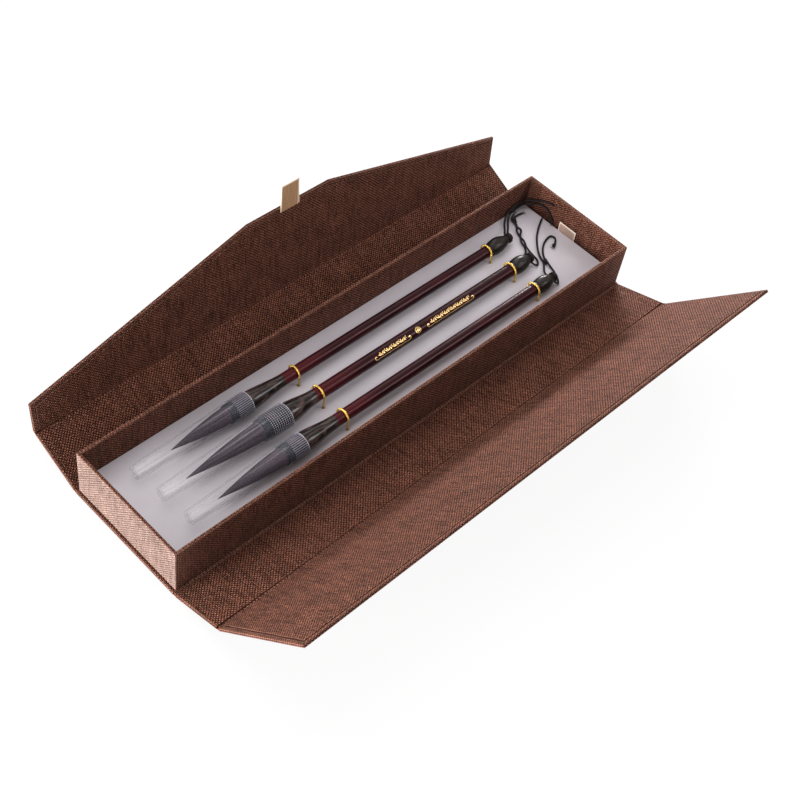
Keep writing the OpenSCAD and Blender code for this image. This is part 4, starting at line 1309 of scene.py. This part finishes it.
def make_ornament(b):
    """Gold scrollwork on the upper half of the middle handle, with a small rosette."""
    r = b.handle / 2 + 0.02
    foil = Shape()

    def on_handle(x, a):
        t = a / r
        return (x, -r * sin(t), r * cos(t))

    def stroke(points, width):
        p = [Vector(q) for q in points]
        rows, uvs = [], []
        for i, q in enumerate(p):
            ahead = (p[min(i + 1, len(p) - 1)] - p[max(i - 1, 0)]).normalized()
            n = Vector((-ahead.y, ahead.x))
            w = (width(i / (len(p) - 1)) if callable(width) else width) / 2
            rows.append([on_handle(*(q + n * w)), on_handle(*q), on_handle(*(q - n * w))])
            uvs.append([tuple(q)] * 3)
        foil.grid(rows, uvs)

    def leaf(x, a, angle, length, width):
        c, s = cos(angle), sin(angle)
        points = [(x + c * length * t / 8, a + s * length * t / 8) for t in range(9)]
        stroke(points, lambda t: 0.05 + width * sin(pi * t ** 0.8))

    def spiral(x, a, size, way, start):
        points = []
        for t in parts(21):
            angle = start + way * 4.6 * t
            d = size * (1 - 0.72 * t)
            points.append((x + d * cos(angle), a + d * sin(angle)))
        stroke(points, lambda t: 0.5 - 0.14 * t)

    middle = 2.15
    for x0, x1 in ((-1.2, 25.0), (39.6, 76.2)):
        stroke([(x0 + (x1 - x0) * i / 40, 4.3 + 0.10 * sin(i * 0.9)) for i in range(41)], 0.34)
        spiral(x0 + 0.3, 3.1, 1.15, 1, pi / 2)
        spiral(x1 - 0.3, 3.1, 1.15, -1, pi / 2)
        waves = round((x1 - x0 - 5) / 5.2)
        start, long = x0 + 2.4, x1 - x0 - 4.8
        points = []
        for t in parts(14 * waves):
            points.append((start + long * t, middle + 0.75 * sin(TAU * waves * t)))
        stroke(points, 0.36)
        for k in range(2 * waves):
            t = (k + 0.5) / (2 * waves)
            way = -1 if k % 2 == 0 else 1
            x = start + long * t
            a = middle - 0.55 * way
            leaf(x - 0.5, a + 0.35 * way, way * 1.0, 1.55, 0.62)
            leaf(x + 0.1, a + 0.35 * way, way * 1.9, 1.35, 0.55)
            leaf(x + 1.0, a - 0.1 * way, -way * 0.9, 0.9, 0.42)
    cx, ca = 32.0, 2.3
    stroke(circle(cx, ca, 1.75, 28, 1), 0.36)
    for k in range(6):
        a = TAU * k / 6
        leaf(cx + 0.25 * cos(a), ca + 0.25 * sin(a), a, 1.15, 0.6)
    made = foil.build("middle_gold_scrolls", FOIL, b.frame, weld=False)
    dress(made, "middle_brush", "gold_elastic")


for name, b in BRUSHES.items():
    make_handle(name, b)
    make_tuft(name, b)
    make_finial(name, b)
    make_cap(name, b)
make_ornament(BRUSHES["middle"])

for node, material in (("tray_floor", BOOK_CLOTH), ("front_lid_plates", STEEL),
                       ("rear_lid_magnets", STEEL)):
    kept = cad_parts[node]
    if not kept.material_slots:
        kept.data.materials.append(material)
    for slot in kept.material_slots:
        slot.material = material


# Floor and light
WHITE = {"OutputMaterial": "ShaderNodeEmission", "OutputWorld": "ShaderNodeBackground"}


def show_white(tree, plain, output, share):
    """Mix a shader with white where the camera, gloss or glass looks straight at it."""
    def node(kind, *inputs, **settings):
        made = tree.nodes.new("ShaderNode" + kind)
        for key, value in settings.items():
            setattr(made, key, value)
        for socket, source in zip(made.inputs, inputs):
            tree.links.new(source, socket)
        return made

    path = tree.nodes.new("ShaderNodeLightPath").outputs
    seen = path["Is Camera Ray"]
    for ray in ("Is Glossy Ray", "Is Transmission Ray"):
        seen = node("Math", seen, path[ray], operation="MAXIMUM").outputs[0]
    scaled = node("Math", seen, operation="MULTIPLY")
    scaled.inputs[1].default_value = share
    white = tree.nodes.new(WHITE[output])
    white.inputs["Color"].default_value = (1, 1, 1, 1)
    mix = node("MixShader", scaled.outputs[0], plain.outputs[0], white.outputs[0])
    node(output, mix.outputs[0])


def make_floor():
    half, z = 3.0, -0.0002
    mesh = bpy.data.meshes.new("floor")
    mesh.from_pydata([(-half, -half, z), (half, -half, z), (half, half, z), (-half, half, z)],
                     [], [(0, 1, 2, 3)])
    material = bpy.data.materials.new("pale floor")
    material.use_nodes = True
    tree = material.node_tree
    tree.nodes.clear()
    paper = tree.nodes.new("ShaderNodeBsdfDiffuse")
    paper.inputs["Color"].default_value = (0.86, 0.86, 0.86, 1)
    show_white(tree, paper, "OutputMaterial", 0.9)
    mesh.materials.append(material)
    add("floor", mesh)


def make_light():
    for name, at, aim, size, power in (
        ("left softbox", (-1.3, 0.28, 0.14), (0, 0, 0.02), (0.9, 0.2), 46),
        ("top softbox", (-0.12, 0.32, 1.25), (0, 0, 0), (0.9, 0.9), 7.5),
        ("rear softbox", (0.56, 0.64, 0.70), (0.03, 0, 0.02), (0.3, 0.4), 0.9),
        ("front strip", (0.60, -0.62, 0.64), (0.04, 0, 0.02), (0.2, 0.36), 2.9),
        ("right softbox", (0.45, 0.28, 0.10), (0.1, -0.1, 0.05), (0.16, 0.06), 4),
    ):
        data = bpy.data.lights.new(name, "AREA")
        data.shape = "RECTANGLE"
        data.size, data.size_y = size
        data.energy = power
        lamp = add(name, data)
        lamp.location = at
        lamp.rotation_euler = (Vector(aim) - Vector(at)).to_track_quat("-Z", "Y").to_euler()
    world = bpy.data.worlds.new("studio")
    bpy.context.scene.world = world
    world.use_nodes = True
    tree = world.node_tree
    tree.nodes.clear()
    soft = tree.nodes.new("ShaderNodeBackground")
    soft.inputs["Color"].default_value = (1, 1, 1, 1)
    soft.inputs["Strength"].default_value = 0.58
    show_white(tree, soft, "OutputWorld", 1.0)


make_floor()
make_light()
bpy.context.scene.view_settings.view_transform = "Standard"
